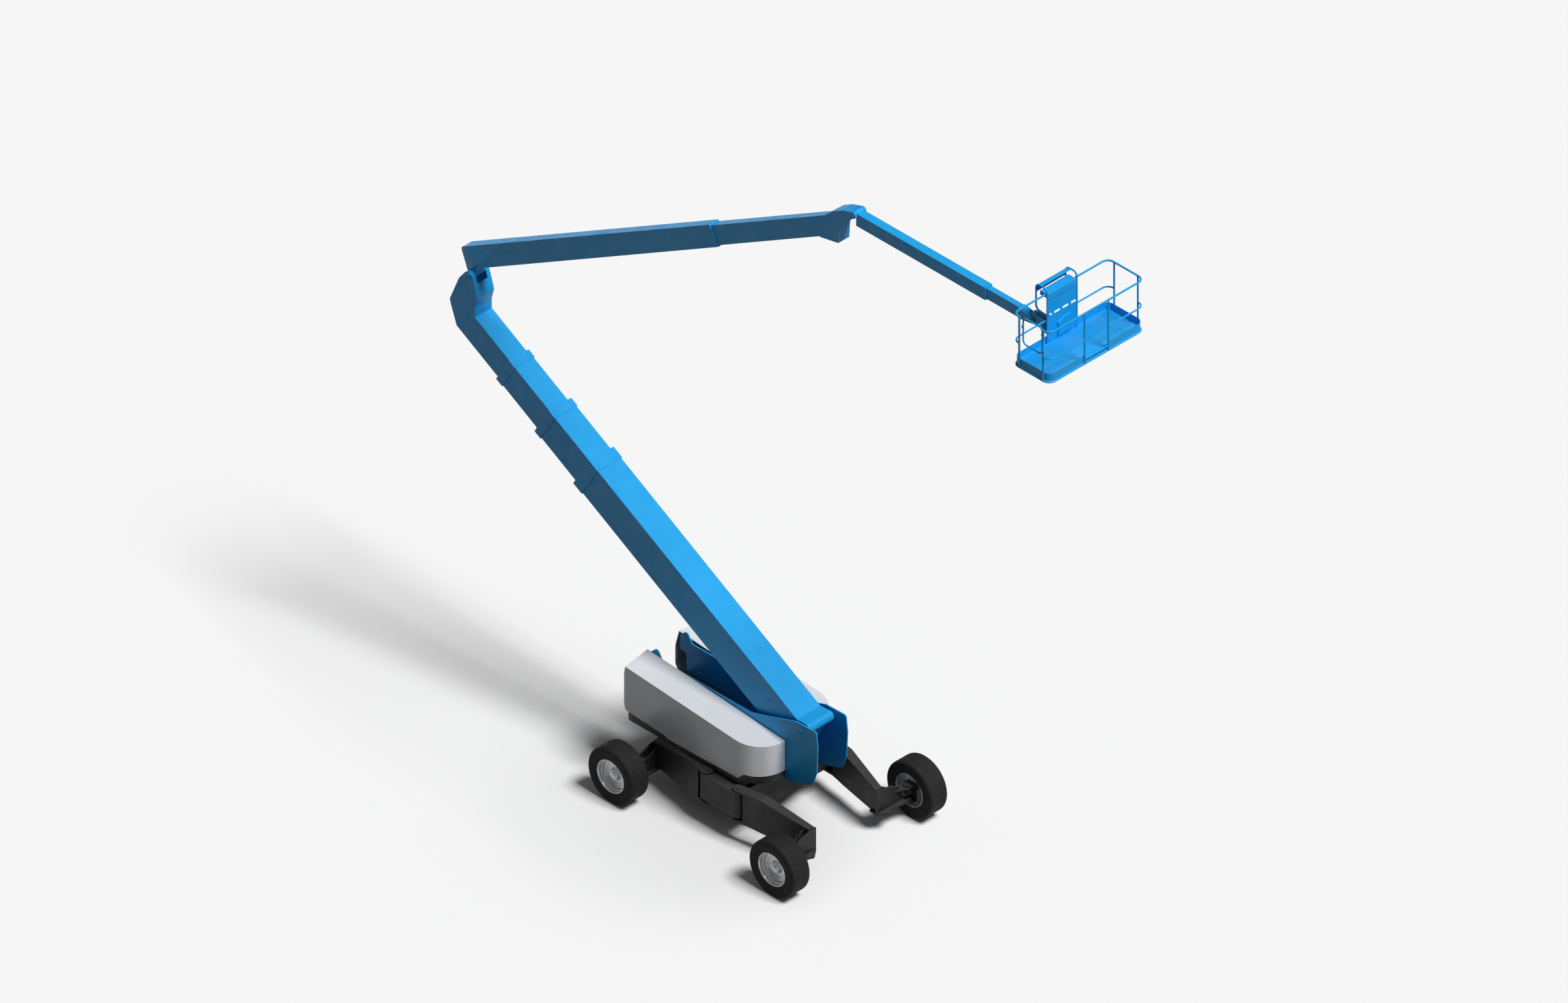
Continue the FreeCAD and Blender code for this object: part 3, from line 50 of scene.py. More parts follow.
Point = tuple[float, float, float]
Profile = list[tuple[float, float]]

BOTH_SIDES = (-1.0, 1.0)
UP = (0.0, 0.0, 1.0)
FORWARD = (1.0, 0.0, 0.0)
SLEW_X = -0.279
FOOT_PIN = (0.981, 0.0, 2.450)
KNUCKLE_PIN = (-7.63875, 0.0, 8.05015)
JIB_PIN = (2.01130, 0.0, 14.13777)
LEVEL_PIN = (6.47130, 0.0, 14.03977)
TURN_AXIS = (6.75130, 0.0, 14.03977)
PLATFORM_Y = -0.033


class Slot(Enum):
    """Material slots of the record."""

    BLUE = "boom_blue"
    BLACK = "chassis_black"
    WHITE = "cover_white"
    TYRE = "tyre"
    RIM = "rim_silver"
    PIN = "pin_steel"
    WEIGHT = "counterweight_black"
    ENGINE = "engine_grey"
    TANK = "tank_black"


def facing(at: Point, way: Point) -> Matrix:
    """A place at a point, with local Z along a direction.

    Args:
        at: The point.
        way: The direction.

    Returns:
        The place.
    """
    return Matrix.Translation(at) @ Vector(way).to_track_quat("Z", "Y").to_matrix().to_4x4()


def pitched(at: Point, angle: float) -> Matrix:
    """A place at a point, turned about the machine's cross axis.

    Args:
        at: The point.
        angle: The turn, in degrees.

    Returns:
        The place.
    """
    return Matrix.Translation(at) @ Matrix.Rotation(math.radians(angle), 4, "Y")


def raised(height: float) -> Matrix:
    """A step along local Z."""
    return Matrix.Translation((0.0, 0.0, height))


def shade(colour: Colour, factor: float) -> Colour:
    """Scale a colour's brightness.

    Args:
        colour: Red, green and blue.
        factor: What each is multiplied by.

    Returns:
        The new colour.
    """
    return tuple(min(1.0, part * factor) for part in colour)


def place_in_scene(name: str, data: bpy.types.ID) -> bpy.types.Object:
    """Make an object and link it to the scene.

    Args:
        name: The object's name.
        data: Its mesh, camera or light.

    Returns:
        The object.
    """
    made = bpy.data.objects.new(name, data)
    bpy.context.scene.collection.objects.link(made)
    return made


class Recipe:
    """A node tree under construction."""

    def __init__(self, name: str) -> None:
        """Start a material whose tree holds a shader and its output.

        Args:
            name: The material's name.
        """
        self.material = bpy.data.materials.new(name)
        self.material.use_nodes = True
        self.tree = self.material.node_tree
        self.shader = self.tree.nodes["Principled BSDF"]
        self.place = self.add("ShaderNodeTexCoord").outputs["Object"]

    def add(self, kind: str, **settings: object) -> bpy.types.Node:
        """Add a node and set its properties.

        Args:
            kind: The node's type.
            **settings: Properties of the node itself.

        Returns:
            The new node.
        """
        node = self.tree.nodes.new(kind)
        for key, setting in settings.items():
            setattr(node, key, setting)
        return node

    def join(self, source: object, target: bpy.types.NodeSocket) -> None:
        """Link a socket, or write a plain value, into a target socket.

        Args:
            source: A socket, a number or a colour.
            target: The socket that takes it.
        """
        if isinstance(source, bpy.types.NodeSocket):
            self.tree.links.new(source, target)
        else:
            target.default_value = source

    def put(self, name: str, source: object) -> None:
        """Set one input of the shader."""
        self.join(source, self.shader.inputs[name])

    def noise(self, scale: float, detail: float = 3.0,
              stretch: Point = (1.0, 1.0, 1.0)) -> bpy.types.NodeSocket:
        """Noise in the piece's own metres.

        Args:
            scale: Waves in a metre.
            detail: Octaves.
            stretch: Factor on each axis.

        Returns:
            The noise's value.
        """
        mapping = self.add("ShaderNodeMapping")
        self.join(self.place, mapping.inputs["Vector"])
        self.join(stretch, mapping.inputs["Scale"])
        noise = self.add("ShaderNodeTexNoise")
        self.join(mapping.outputs["Vector"], noise.inputs["Vector"])
        self.join(scale, noise.inputs["Scale"])
        self.join(detail, noise.inputs["Detail"])
        return noise.outputs["Fac"]

    def remap(self, source: bpy.types.NodeSocket, low: float, high: float, start: float = 0.0,
              finish: float = 1.0) -> bpy.types.NodeSocket:
        """Stretch a value from one range to another, held at both ends.

        Args:
            source: The value.
            low: Where the ramp starts.
            high: Where the ramp ends.
            start: Result at the start.
            finish: Result at the end.

        Returns:
            The result.
        """
        node = self.add("ShaderNodeMapRange", clamp=True)
        for key, value in (("Value", source), ("From Min", low), ("From Max", high),
                           ("To Min", start), ("To Max", finish)):
            self.join(value, node.inputs[key])
        return node.outputs["Result"]

    def patches(self, scale: float, detail: float, low: float, high: float, start: float = 0.0,
                finish: float = 1.0) -> bpy.types.NodeSocket:
        """Noise stretched from one range to another.

        Args:
            scale: Waves in a metre.
            detail: Octaves.
            low: Noise where the ramp starts.
            high: Noise where the ramp ends.
            start: Result at the start.
            finish: Result at the end.

        Returns:
            The result.
        """
        return self.remap(self.noise(scale, detail), low, high, start, finish)

    def combine(self, operation: str, first: object, second: object) -> bpy.types.NodeSocket:
        """Work out one number from two.

        Args:
            operation: The math node's operation.
            first: A number or its socket.
            second: A number or its socket.

        Returns:
            The result.
        """
        node = self.add("ShaderNodeMath", operation=operation)
        self.join(first, node.inputs[0])
        self.join(second, node.inputs[1])
        return node.outputs[0]

    def blend(self, amount: object, first: object, second: object) -> bpy.types.NodeSocket:
        """Mix two colours.

        Args:
            amount: Share of the second colour.
            first: A colour or its socket.
            second: A colour or its socket.

        Returns:
            The mixed colour.
        """
        node = self.add("ShaderNodeMix", data_type="RGBA")
        self.join(amount, node.inputs["Factor"])
        targets = [socket for socket in node.inputs if socket.type == "RGBA"]
        for value, target in zip((first, second), targets):
            self.join(value if isinstance(value, bpy.types.NodeSocket) else (*value, 1.0), target)
        return next(socket for socket in node.outputs if socket.type == "RGBA")

    def bump(self, height: bpy.types.NodeSocket, distance: float, strength: float) -> None:
        """Raise the surface by a height.

        Args:
            height: The height's socket.
            distance: Metres for a height of one.
            strength: Share of the bump that counts.
        """
        node = self.add("ShaderNodeBump")
        for key, value in (("Distance", distance), ("Strength", strength), ("Height", height)):
            self.join(value, node.inputs[key])
        self.put("Normal", node.outputs["Normal"])

    def part_of(self, vector: bpy.types.NodeSocket, axis: str) -> bpy.types.NodeSocket:
        """One coordinate of a vector.

        Args:
            vector: The vector's socket.
            axis: X, Y or Z.

        Returns:
            The coordinate.
        """
        split = self.add("ShaderNodeSeparateXYZ")
        self.join(vector, split.inputs["Vector"])
        return split.outputs[axis]

    def upward(self) -> bpy.types.NodeSocket:
        """How far the surface faces up, from -1 to 1."""
        return self.part_of(self.add("ShaderNodeNewGeometry").outputs["Normal"], "Z")

    def height(self) -> bpy.types.NodeSocket:
        """Height of the point at rest, in metres."""
        return self.part_of(self.place, "Z")


class Finish(Protocol):
    """What the paintshop can put on a piece."""

    def material(self) -> bpy.types.Material:
        """Build the finish."""


@dataclass(frozen=True)
class Enamel:
    """Sprayed enamel on welded steel: a fine peel, slow changes of tone, a little dust on top."""

    name: str
    colour: Colour
    rough: float = 0.42
    dust: float = 0.10
    coat: float = 0.04
    dust_colour: Colour = (0.52, 0.50, 0.46)

    def material(self) -> bpy.types.Material:
        """Build the finish.

        Returns:
            The material.
        """
        mix = Recipe(self.name)
        tone = mix.patches(0.9, 4.0, 0.35, 0.65)
        colour = mix.blend(tone, shade(self.colour, 0.96), shade(self.colour, 1.05))
        speck = mix.patches(38.0, 4.0, 0.66, 0.76, 0.0, 0.25)
        colour = mix.blend(speck, colour, shade(self.colour, 0.80))
        settled = mix.remap(mix.upward(), 0.3, 1.0, 0.0, self.dust)
        mix.put("Base Color", mix.blend(settled, colour, self.dust_colour))
        mix.put("Roughness", mix.patches(5.0, 5.0, 0.3, 0.7, self.rough - 0.06, self.rough + 0.08))
        mix.put("Specular IOR Level", 0.28)
        mix.put("Coat Weight", self.coat)
        mix.put("Coat Roughness", 0.25)
        mix.bump(mix.noise(160.0, 2.0), 0.0004, 0.6)
        return mix.material


@dataclass(frozen=True)
class Shell:
    """Moulded glossy cover: faint waves in the sheet and a little road dirt at its lower edge."""

    name: str
    colour: Colour
    low: float = 1.25
    high: float = 1.75
    dirt: float = 0.30
    dirt_colour: Colour = (0.38, 0.36, 0.33)
    gloss_coat: float = 0.12

    def material(self) -> bpy.types.Material:
        """Build the finish.

        Returns:
            The material.
        """
        mix = Recipe(self.name)
        streaks = mix.remap(mix.noise(3.0, 5.0, (1.0, 1.0, 0.35)), 0.35, 0.7)
        rise = mix.remap(mix.height(), self.low, self.high, self.dirt, 0.0)
        dirt = mix.combine("MULTIPLY", rise, streaks)
        tone = mix.blend(mix.patches(1.3, 3.0, 0.35, 0.65), shade(self.colour, 0.97), self.colour)
        mix.put("Base Color", mix.blend(dirt, tone, self.dirt_colour))
        mix.put("Roughness", mix.patches(6.0, 4.0, 0.3, 0.7, 0.26, 0.38))
        mix.put("Coat Weight", self.gloss_coat)
        mix.put("Coat Roughness", 0.12)
        mix.bump(mix.noise(2.2, 2.0), 0.004, 0.5)
        return mix.material


@dataclass(frozen=True)
class Rubber:
    """Filled tyre: matt black rubber, scuffed and dusty."""

    name: str
    colour: Colour = (0.016, 0.016, 0.017)
    scuff_colour: Colour = (0.060, 0.057, 0.052)

    def material(self) -> bpy.types.Material:
        """Build the finish.

        Returns:
            The material.
        """
        mix = Recipe(self.name)
        scuff = mix.patches(34.0, 6.0, 0.45, 0.80, 0.0, 0.30)
        mix.put("Base Color", mix.blend(scuff, self.colour, self.scuff_colour))
        mix.put("Roughness", mix.patches(22.0, 4.0, 0.3, 0.7, 0.68, 0.88))
        mix.put("Specular IOR Level", 0.25)
        mix.bump(mix.noise(90.0, 5.0), 0.0015, 0.8)
        return mix.material


@dataclass(frozen=True)
class Metal:
    """Plated steel with fine marks and a few stains."""

    name: str
    colour: Colour
    rough: float = 0.32

    def material(self) -> bpy.types.Material:
        """Build the finish.

        Returns:
            The material.
        """
        mix = Recipe(self.name)
        marks = mix.noise(45.0, 5.0)
        colour = mix.blend(mix.remap(marks, 0.35, 0.7), shade(self.colour, 0.82), self.colour)
        stain = mix.patches(7.0, 4.0, 0.58, 0.78, 0.0, 0.5)
        mix.put("Base Color", mix.blend(stain, colour, shade(self.colour, 0.55)))
        mix.put("Roughness", mix.remap(marks, 0.3, 0.7, self.rough - 0.07, self.rough + 0.12))
        mix.put("Metallic", 1.0)
        mix.bump(marks, 0.0003, 0.5)
        return mix.material


@dataclass(frozen=True)
class Casting:
    """Painted casting: coarse skin and uneven tone."""

    name: str
    colour: Colour

    def material(self) -> bpy.types.Material:
        """Build the finish.

        Returns:
            The material.
        """
        mix = Recipe(self.name)
        tone = mix.patches(14.0, 6.0, 0.3, 0.7)
        mix.put("Base Color", mix.blend(tone, shade(self.colour, 0.75), shade(self.colour, 1.2)))
        mix.put("Roughness", mix.patches(30.0, 4.0, 0.3, 0.7, 0.55, 0.78))
        mix.bump(mix.noise(110.0, 4.0), 0.0020, 0.7)
        return mix.material


@dataclass(frozen=True)
class SilverPaint:
    """Bright silver paint, smooth, with a little brake dust."""

    name: str
    colour: Colour = (0.84, 0.85, 0.87)
    dust_colour: Colour = (0.40, 0.39, 0.38)
    metallic: float = 0.35

    def material(self) -> bpy.types.Material:
        """Build the finish.

        Returns:
            The material.
        """
        mix = Recipe(self.name)
        dust = mix.patches(5.0, 3.0, 0.50, 0.80, 0.0, 0.14)
        mix.put("Base Color", mix.blend(dust, self.colour, self.dust_colour))
        mix.put("Roughness", mix.patches(16.0, 4.0, 0.3, 0.7, 0.24, 0.32))
        mix.put("Metallic", self.metallic)
        mix.bump(mix.noise(30.0, 2.0), 0.0001, 0.2)
        return mix.material


@dataclass(frozen=True)
class TreadPlate:
    """Painted floor sheet with low raised bars laid crosswise, a little worn and dusty."""

    name: str
    colour: Colour
    pitch: float = 26.0
    dust_colour: Colour = (0.45, 0.43, 0.39)

    def bars(self, mix: Recipe, turn: float) -> bpy.types.NodeSocket:
        """Parallel bars across the sheet.

        Args:
            mix: The material's recipe.
            turn: Direction of the bars, in degrees.

        Returns:
            Height of the bars.
        """
        mapping = mix.add("ShaderNodeMapping")
        mix.join(mix.place, mapping.inputs["Vector"])
        mix.join((0.0, 0.0, math.radians(turn)), mapping.inputs["Rotation"])
        wave = mix.add("ShaderNodeTexWave", bands_direction="X")
        mix.join(mapping.outputs["Vector"], wave.inputs["Vector"])
        mix.join(self.pitch / math.tau, wave.inputs["Scale"])
        return mix.remap(wave.outputs["Fac"], 0.62, 0.80)

    def material(self) -> bpy.types.Material:
        """Build the finish.

        Returns:
            The material.
        """
        mix = Recipe(self.name)
        bars = mix.combine("MULTIPLY", self.bars(mix, 45.0), self.bars(mix, -45.0))
        worn = mix.combine("MULTIPLY", bars, mix.patches(3.5, 5.0, 0.45, 0.75, 0.0, 0.12))
        settled = mix.patches(2.2, 5.0, 0.4, 0.8, 0.0, 0.12)
        dusty = mix.blend(settled, self.colour, self.dust_colour)
        mix.put("Base Color", mix.blend(worn, dusty, shade(self.colour, 1.15)))
        mix.put("Roughness", mix.patches(7.0, 4.0, 0.3, 0.7, 0.42, 0.60))
        mix.put("Specular IOR Level", 0.28)
        mix.bump(bars, 0.0008, 0.5)
        return mix.material


FINISHES: dict[Slot, Finish] = {
    Slot.BLUE: Enamel("blue_enamel", (0.010, 0.400, 0.880), rough=0.40, dust=0.015),
    Slot.BLACK: Enamel("black_enamel", (0.022, 0.022, 0.023), rough=0.50, dust=0.06, coat=0.0),
    Slot.WHITE: Shell("white_shell", (0.84, 0.86, 0.89)),
    Slot.TYRE: Rubber("tyre_rubber"),
    Slot.RIM: SilverPaint("silver_rim_paint"),
    Slot.PIN: Metal("plated_pin_steel", (0.48, 0.48, 0.50), rough=0.30),
    Slot.WEIGHT: Casting("counterweight_casting", (0.020, 0.020, 0.022)),
    Slot.ENGINE: Casting("engine_casting", (0.075, 0.078, 0.082)),
    Slot.TANK: Casting("tank_moulding", (0.016, 0.016, 0.018)),
}
FLOOR_PAINT = TreadPlate("floor_tread_paint", (0.012, 0.385, 0.860))
# Lighter and glossier than the boom's blue: a painted highlight along the jib's weld seams.
SEAM_HIGHLIGHT_PAINT = Enamel("seam_highlight_enamel", (0.10, 0.50, 0.88), rough=0.34, dust=0.0)
PULLEY_PLASTIC = Casting("moulded_fan_and_pulleys", (0.030, 0.030, 0.032))
FILTER_PAINT = Enamel("filter_enamel", (0.55, 0.56, 0.57), rough=0.35, dust=0.02)


class Paintshop:
    """Makes each finish once and puts it on pieces."""

    def __init__(self) -> None:
        """Start with no material made."""
        self.made: dict[Finish, bpy.types.Material] = {}

    def get(self, finish: Finish) -> bpy.types.Material:
        """The material of a finish, made on first use.

        Args:
            finish: The finish.

        Returns:
            The material.
        """
        if finish not in self.made:
            self.made[finish] = finish.material()
        return self.made[finish]

    def coat(self, piece: bpy.types.Object, finish: Finish) -> None:
        """Give a piece one finish all over."""
        piece.data.materials.clear()
        piece.data.materials.append(self.get(finish))

    def coat_nodes(self) -> None:
        """Paint every carried-over node by its record slot."""
        for part in frame["record"]["subparts"]:
            self.coat(frame["nodes"][part["node"]], FINISHES[Slot(part["material_slot"])])


class Bench:
    """Shapes pieces out of bmesh work and sets each riding on a body of the machine."""

    def __init__(self, shop: Paintshop) -> None:
        """Keep the paintshop that coats the pieces.

        Args:
            shop: The paintshop.
        """
        self.shop = shop
        self.mesh = bmesh.new()

    def fresh(self, old: set[bmesh.types.BMVert]) -> list[bmesh.types.BMVert]:
        """Vertices of the mesh that an earlier set doesn't hold."""
        return [vert for vert in self.mesh.verts if vert not in old]

    def soften(self, verts: list[bmesh.types.BMVert], soft: float) -> None:
        """Bevel the edges that meet some vertices.

        Args:
            verts: Those vertices.
            soft: Width of the bevels, or 0 for none.
        """
        if soft:
            edges = list({edge for vert in verts for edge in vert.link_edges})
            bmesh.ops.bevel(self.mesh, geom=edges, offset=soft, segments=2, profile=0.5,
                            affect="EDGES", material=-1)

    def draw_out(self, edges: list[bmesh.types.BMEdge], way: Point) -> list[bmesh.types.BMEdge]:
        """Extrude edges along a vector.

        Args:
            edges: The edges.
            way: The vector.

        Returns:
            The edges at the far end.
        """
        made = bmesh.ops.extrude_edge_only(self.mesh, edges=edges)["geom"]
        verts = [part for part in made if isinstance(part, bmesh.types.BMVert)]
        bmesh.ops.translate(self.mesh, verts=verts, vec=way)
        ends = set(verts)
        return [part for part in made
                if isinstance(part, bmesh.types.BMEdge) and set(part.verts) <= ends]

    def swing(self, edges: list[bmesh.types.BMEdge], centre: Point, axis: Point, angle: float,
              steps: int) -> list[bmesh.types.BMEdge]:
        """Sweep edges round an axis.

        Args:
            edges: The edges.
            centre: A point on the axis.
            axis: Direction of the axis.
            angle: How far, in radians.
            steps: Flats along the way.

        Returns:
            The edges at the far end.
        """
        turned = bmesh.ops.spin(self.mesh, geom=edges, cent=centre, axis=axis,
                                dvec=(0.0, 0.0, 0.0), angle=angle, steps=steps)
        return [part for part in turned["geom_last"] if isinstance(part, bmesh.types.BMEdge)]

    def lathe(self, profile: Profile, place: Matrix, steps: int = 32) -> None:
        """Turn a profile round local Z into a closed shell.

        Args:
            profile: Radius and height of each corner.
            place: Where the shell goes.
            steps: Flats round a full turn.
        """
        old = set(self.mesh.verts)
        verts = [self.mesh.verts.new((radius, 0.0, height)) for radius, height in profile]
        edges = [self.mesh.edges.new(pair) for pair in zip(verts, verts[1:])]
        bmesh.ops.spin(self.mesh, geom=verts + edges, cent=(0.0, 0.0, 0.0), axis=UP,
                       dvec=(0.0, 0.0, 0.0), angle=math.tau, steps=steps, use_merge=True)
        bmesh.ops.remove_doubles(self.mesh, verts=self.fresh(old), dist=1e-6)
        bmesh.ops.transform(self.mesh, matrix=place, verts=self.fresh(old))

    def block(self, one: Point, other: Point, soft: float = 0.0,
              place: Matrix = Matrix.Identity(4)) -> None:
        """A box with softened edges.

        Args:
            one: One corner.
            other: The corner across the box from it.
            soft: Width of the bevels.
            place: Where the box goes.
        """
        low = Vector([min(pair) for pair in zip(one, other)])
        high = Vector([max(pair) for pair in zip(one, other)])
        size = Matrix.Diagonal((*(high - low), 1.0))
        made = bmesh.ops.create_cube(
            self.mesh, size=1.0, matrix=place @ Matrix.Translation((low + high) / 2) @ size)
        self.soften(made["verts"], soft)

    def drum(self, radius: float, height: float, place: Matrix, sides: int = 24,
             taper: float = 1.0) -> None:
        """A short round or six-sided bar standing on its place.

        Args:
            radius: Its radius.
            height: Its height.
            place: Where its foot stands, with its axis along local Z.
            sides: Flats round it.
            taper: Top radius over foot radius.
        """
        bmesh.ops.create_cone(self.mesh, cap_ends=True, segments=sides, radius1=radius,
                              radius2=radius * taper, depth=height,
                              matrix=place @ raised(height / 2))

    def bolt(self, place: Matrix, size: float = 0.012) -> None:
        """A hexagon head on a washer.

        Args:
            place: Where the washer lies, with the bolt's axis along local Z.
            size: Radius of the head.
        """
        self.drum(size * 1.35, size * 0.22, place, 16)
        self.drum(size, size * 0.85, place @ raised(size * 0.2), 6, 0.92)

    def ring_of_bolts(self, place: Matrix, radius: float, count: int, size: float,
                      first: float = 0.0) -> None:
        """Bolts on a circle.

        Args:
            place: Middle of the circle, facing along local Z.
            radius: Radius of the circle.
            count: How many bolts.
            size: Radius of a head.
            first: Angle of the first bolt, in degrees.
        """
        for number in range(count):
            turn = Matrix.Rotation(math.radians(first) + math.tau * number / count, 4, "Z")
            self.bolt(place @ turn @ Matrix.Translation((radius, 0.0, 0.0)), size)

    def plate(self, corners: list[Point], depth: Point, soft: float = 0.0,
              place: Matrix = Matrix.Identity(4)) -> None:
        """A flat plate from its outline.

        Args:
            corners: Corners of one face.
            depth: The way to the other face.
            soft: Width of the bevels.
            place: Where the plate goes.
        """
        old = set(self.mesh.verts)
        face = self.mesh.faces.new([self.mesh.verts.new(corner) for corner in corners])
        made = bmesh.ops.extrude_face_region(self.mesh, geom=[face])["geom"]
        moved = [part for part in made if isinstance(part, bmesh.types.BMVert)]
        bmesh.ops.translate(self.mesh, verts=moved, vec=depth)
        verts = self.fresh(old)
        bmesh.ops.transform(self.mesh, matrix=place, verts=verts)
        self.soften(verts, soft)

    def tube(self, route: list[Point], radius: float, bend: float, closed: bool = False,
             place: Matrix = Matrix.Identity(4), sides: int = 20) -> None:
        """A round tube with smooth bends.

        Args:
            route: Corners of its middle line; a closed tube starts on a straight run.
            radius: Radius of the tube.
            bend: Radius of its bends.
            closed: Whether the last run goes back to the first corner.
            place: Where the tube goes.
            sides: Flats round it.
        """
        points = [Vector(point) for point in route]
        stops = points + points[:1] if closed else points
        old = set(self.mesh.verts)
        made = bmesh.ops.create_circle(self.mesh, segments=sides, radius=radius,
                                       matrix=facing(stops[0], stops[1] - stops[0]))
        mouth = list({edge for vert in made["verts"] for edge in vert.link_edges})
        first_mouth, here = mouth, stops[0]
        for number in range(1, len(stops)):
            corner, trim = stops[number], 0.0
            if number < len(stops) - 1:
                back = (here - corner).normalized()
                ahead = (stops[number + 1] - corner).normalized()
                half = back.angle(ahead) / 2
                trim = bend / math.tan(half)
            goal = corner + (here - corner).normalized() * trim
            mouth = self.draw_out(mouth, goal - here)
            here = goal
            if trim:
                centre = corner + (back + ahead).normalized() * (bend / math.sin(half))
                mouth = self.swing(mouth, centre, ahead.cross(back), math.pi - 2 * half, 8)
                here = corner + ahead * trim
        if closed:
            bmesh.ops.remove_doubles(self.mesh, verts=self.fresh(old), dist=1e-4)
        else:
            bmesh.ops.edgeloop_fill(self.mesh, edges=first_mouth)
            bmesh.ops.edgeloop_fill(self.mesh, edges=mouth)
        bmesh.ops.transform(self.mesh, matrix=place, verts=self.fresh(old))

    def finish(self, name: str, body: str, slot: Slot, coat: Finish | None = None,
               replaces: Iterable[str] = ()) -> None:
        """Turn what is on the bench into a piece, and clear the bench.

        Args:
            name: The piece's name.
            body: The body that it rides on.
            slot: The material slot that it takes its finish from.
            coat: A finish of its own, where it differs from the slot's.
            replaces: CAD nodes that it stands for.
        """
        crease = math.radians(34.0)
        bmesh.ops.recalc_face_normals(self.mesh, faces=self.mesh.faces[:])
        for face in self.mesh.faces:
            face.smooth = True
        for edge in self.mesh.edges:
            edge.smooth = len(edge.link_faces) == 2 and edge.calc_face_angle(0.0) < crease
        data = bpy.data.meshes.new(name)
        self.mesh.to_mesh(data)
        self.mesh.free()
        self.mesh = bmesh.new()
        piece = place_in_scene(name, data)
        self.shop.coat(piece, coat or FINISHES[slot])
        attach(piece, body)
        for node in replaces:
            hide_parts(node)
        LOG.info("%s: %d faces on %s", name, len(data.polygons), body)


@dataclass
class Assembly:
    """A sub-assembly, with the bench where its pieces are made."""

    bench: Bench


TYRE_HALF = [
    (0.3444, 0.188), (0.3460, 0.206), (0.3560, 0.2150), (0.3680, 0.2165), (0.3760, 0.2125),
    (0.3840, 0.2125), (0.3980, 0.2175), (0.4500, 0.2198), (0.4980, 0.2196), (0.5020, 0.2160),
    (0.5090, 0.2160), (0.5130, 0.2190), (0.5320, 0.2165), (0.5500, 0.2085), (0.5640, 0.1955),
    (0.5715, 0.1800), (0.5745, 0.1600), (0.5750, 0.1300), (0.5750, 0.0040), (0.5738, 0.0)]
RIM_OUTLINE = [
    (0.0, 0.1580), (0.017, 0.1575), (0.020, 0.1545), (0.041, 0.1545), (0.044, 0.1575),
    (0.057, 0.1575), (0.0615, 0.1540), (0.062, 0.1420), (0.077, 0.1420), (0.079, 0.1395),
    (0.083, 0.1395), (0.085, 0.1420), (0.092, 0.1415), (0.098, 0.1375), (0.101, 0.1300),
    (0.108, 0.1050), (0.119, 0.0780), (0.128, 0.0640), (0.132, 0.0605), (0.196, 0.0605),
    (0.199, 0.0575), (0.205, 0.0575), (0.208, 0.0605), (0.270, 0.0610), (0.284, 0.0660),
    (0.291, 0.0780), (0.292, 0.1180), (0.297, 0.1280), (0.307, 0.1320), (0.311, 0.1400),
    (0.312, 0.1760), (0.316, 0.1860), (0.323, 0.1900), (0.326, 0.1980), (0.330, 0.2050),
    (0.336, 0.2065), (0.341, 0.2030), (0.3436, 0.1940), (0.3436, -0.1940), (0.341, -0.2030),
    (0.336, -0.2065), (0.330, -0.2050), (0.326, -0.1980), (0.318, -0.1700), (0.314, -0.0600),
    (0.308, 0.0200), (0.292, 0.0360), (0.240, 0.0405), (0.0612, 0.0405), (0.0612, 0.0604),
    (0.0, 0.0604)]


@dataclass
class Wheel(Assembly):
    """Filled tyre and stepped silver rim of one corner."""

    corner: str
    front: int
    side: int
    out_x: float = 2.040
    out_y: float = 1.740
    axle_z: float = 0.575
    tyre_steps: int = 112
    rim_steps: int = 96

    def place(self) -> Matrix:
        """The wheel's middle, with local Z outward along the axle."""
        middle = (SLEW_X + self.front * self.out_x, self.side * self.out_y, self.axle_z)
        return facing(middle, (0.0, self.side, 0.0))

    def build(self) -> None:
        """Make the tyre and the rim."""
        self.build_tyre()
        self.build_rim()

    def build_tyre(self) -> None:
        """Tyre with a bead, a rim guard and a ring near its shoulder."""
        outline = TYRE_HALF + [(radius, -across) for radius, across in TYRE_HALF[-2::-1]]
        self.bench.lathe(outline + outline[:1], self.place(), self.tyre_steps)
        self.bench.finish(f"tyre_tread_{self.corner}", f"wheel_{self.corner}", Slot.TYRE,
                          replaces=[f"tyre_{self.corner}"])

    def build_rim(self) -> None:
        """Rim with rolled flanges, a stepped barrel, a dished disc and the hub drum."""
        self.bench.lathe(RIM_OUTLINE, self.place(), self.rim_steps)
        self.bench.finish(f"rim_disc_{self.corner}", f"wheel_{self.corner}", Slot.RIM,
                          replaces=[f"rim_{self.corner}"])


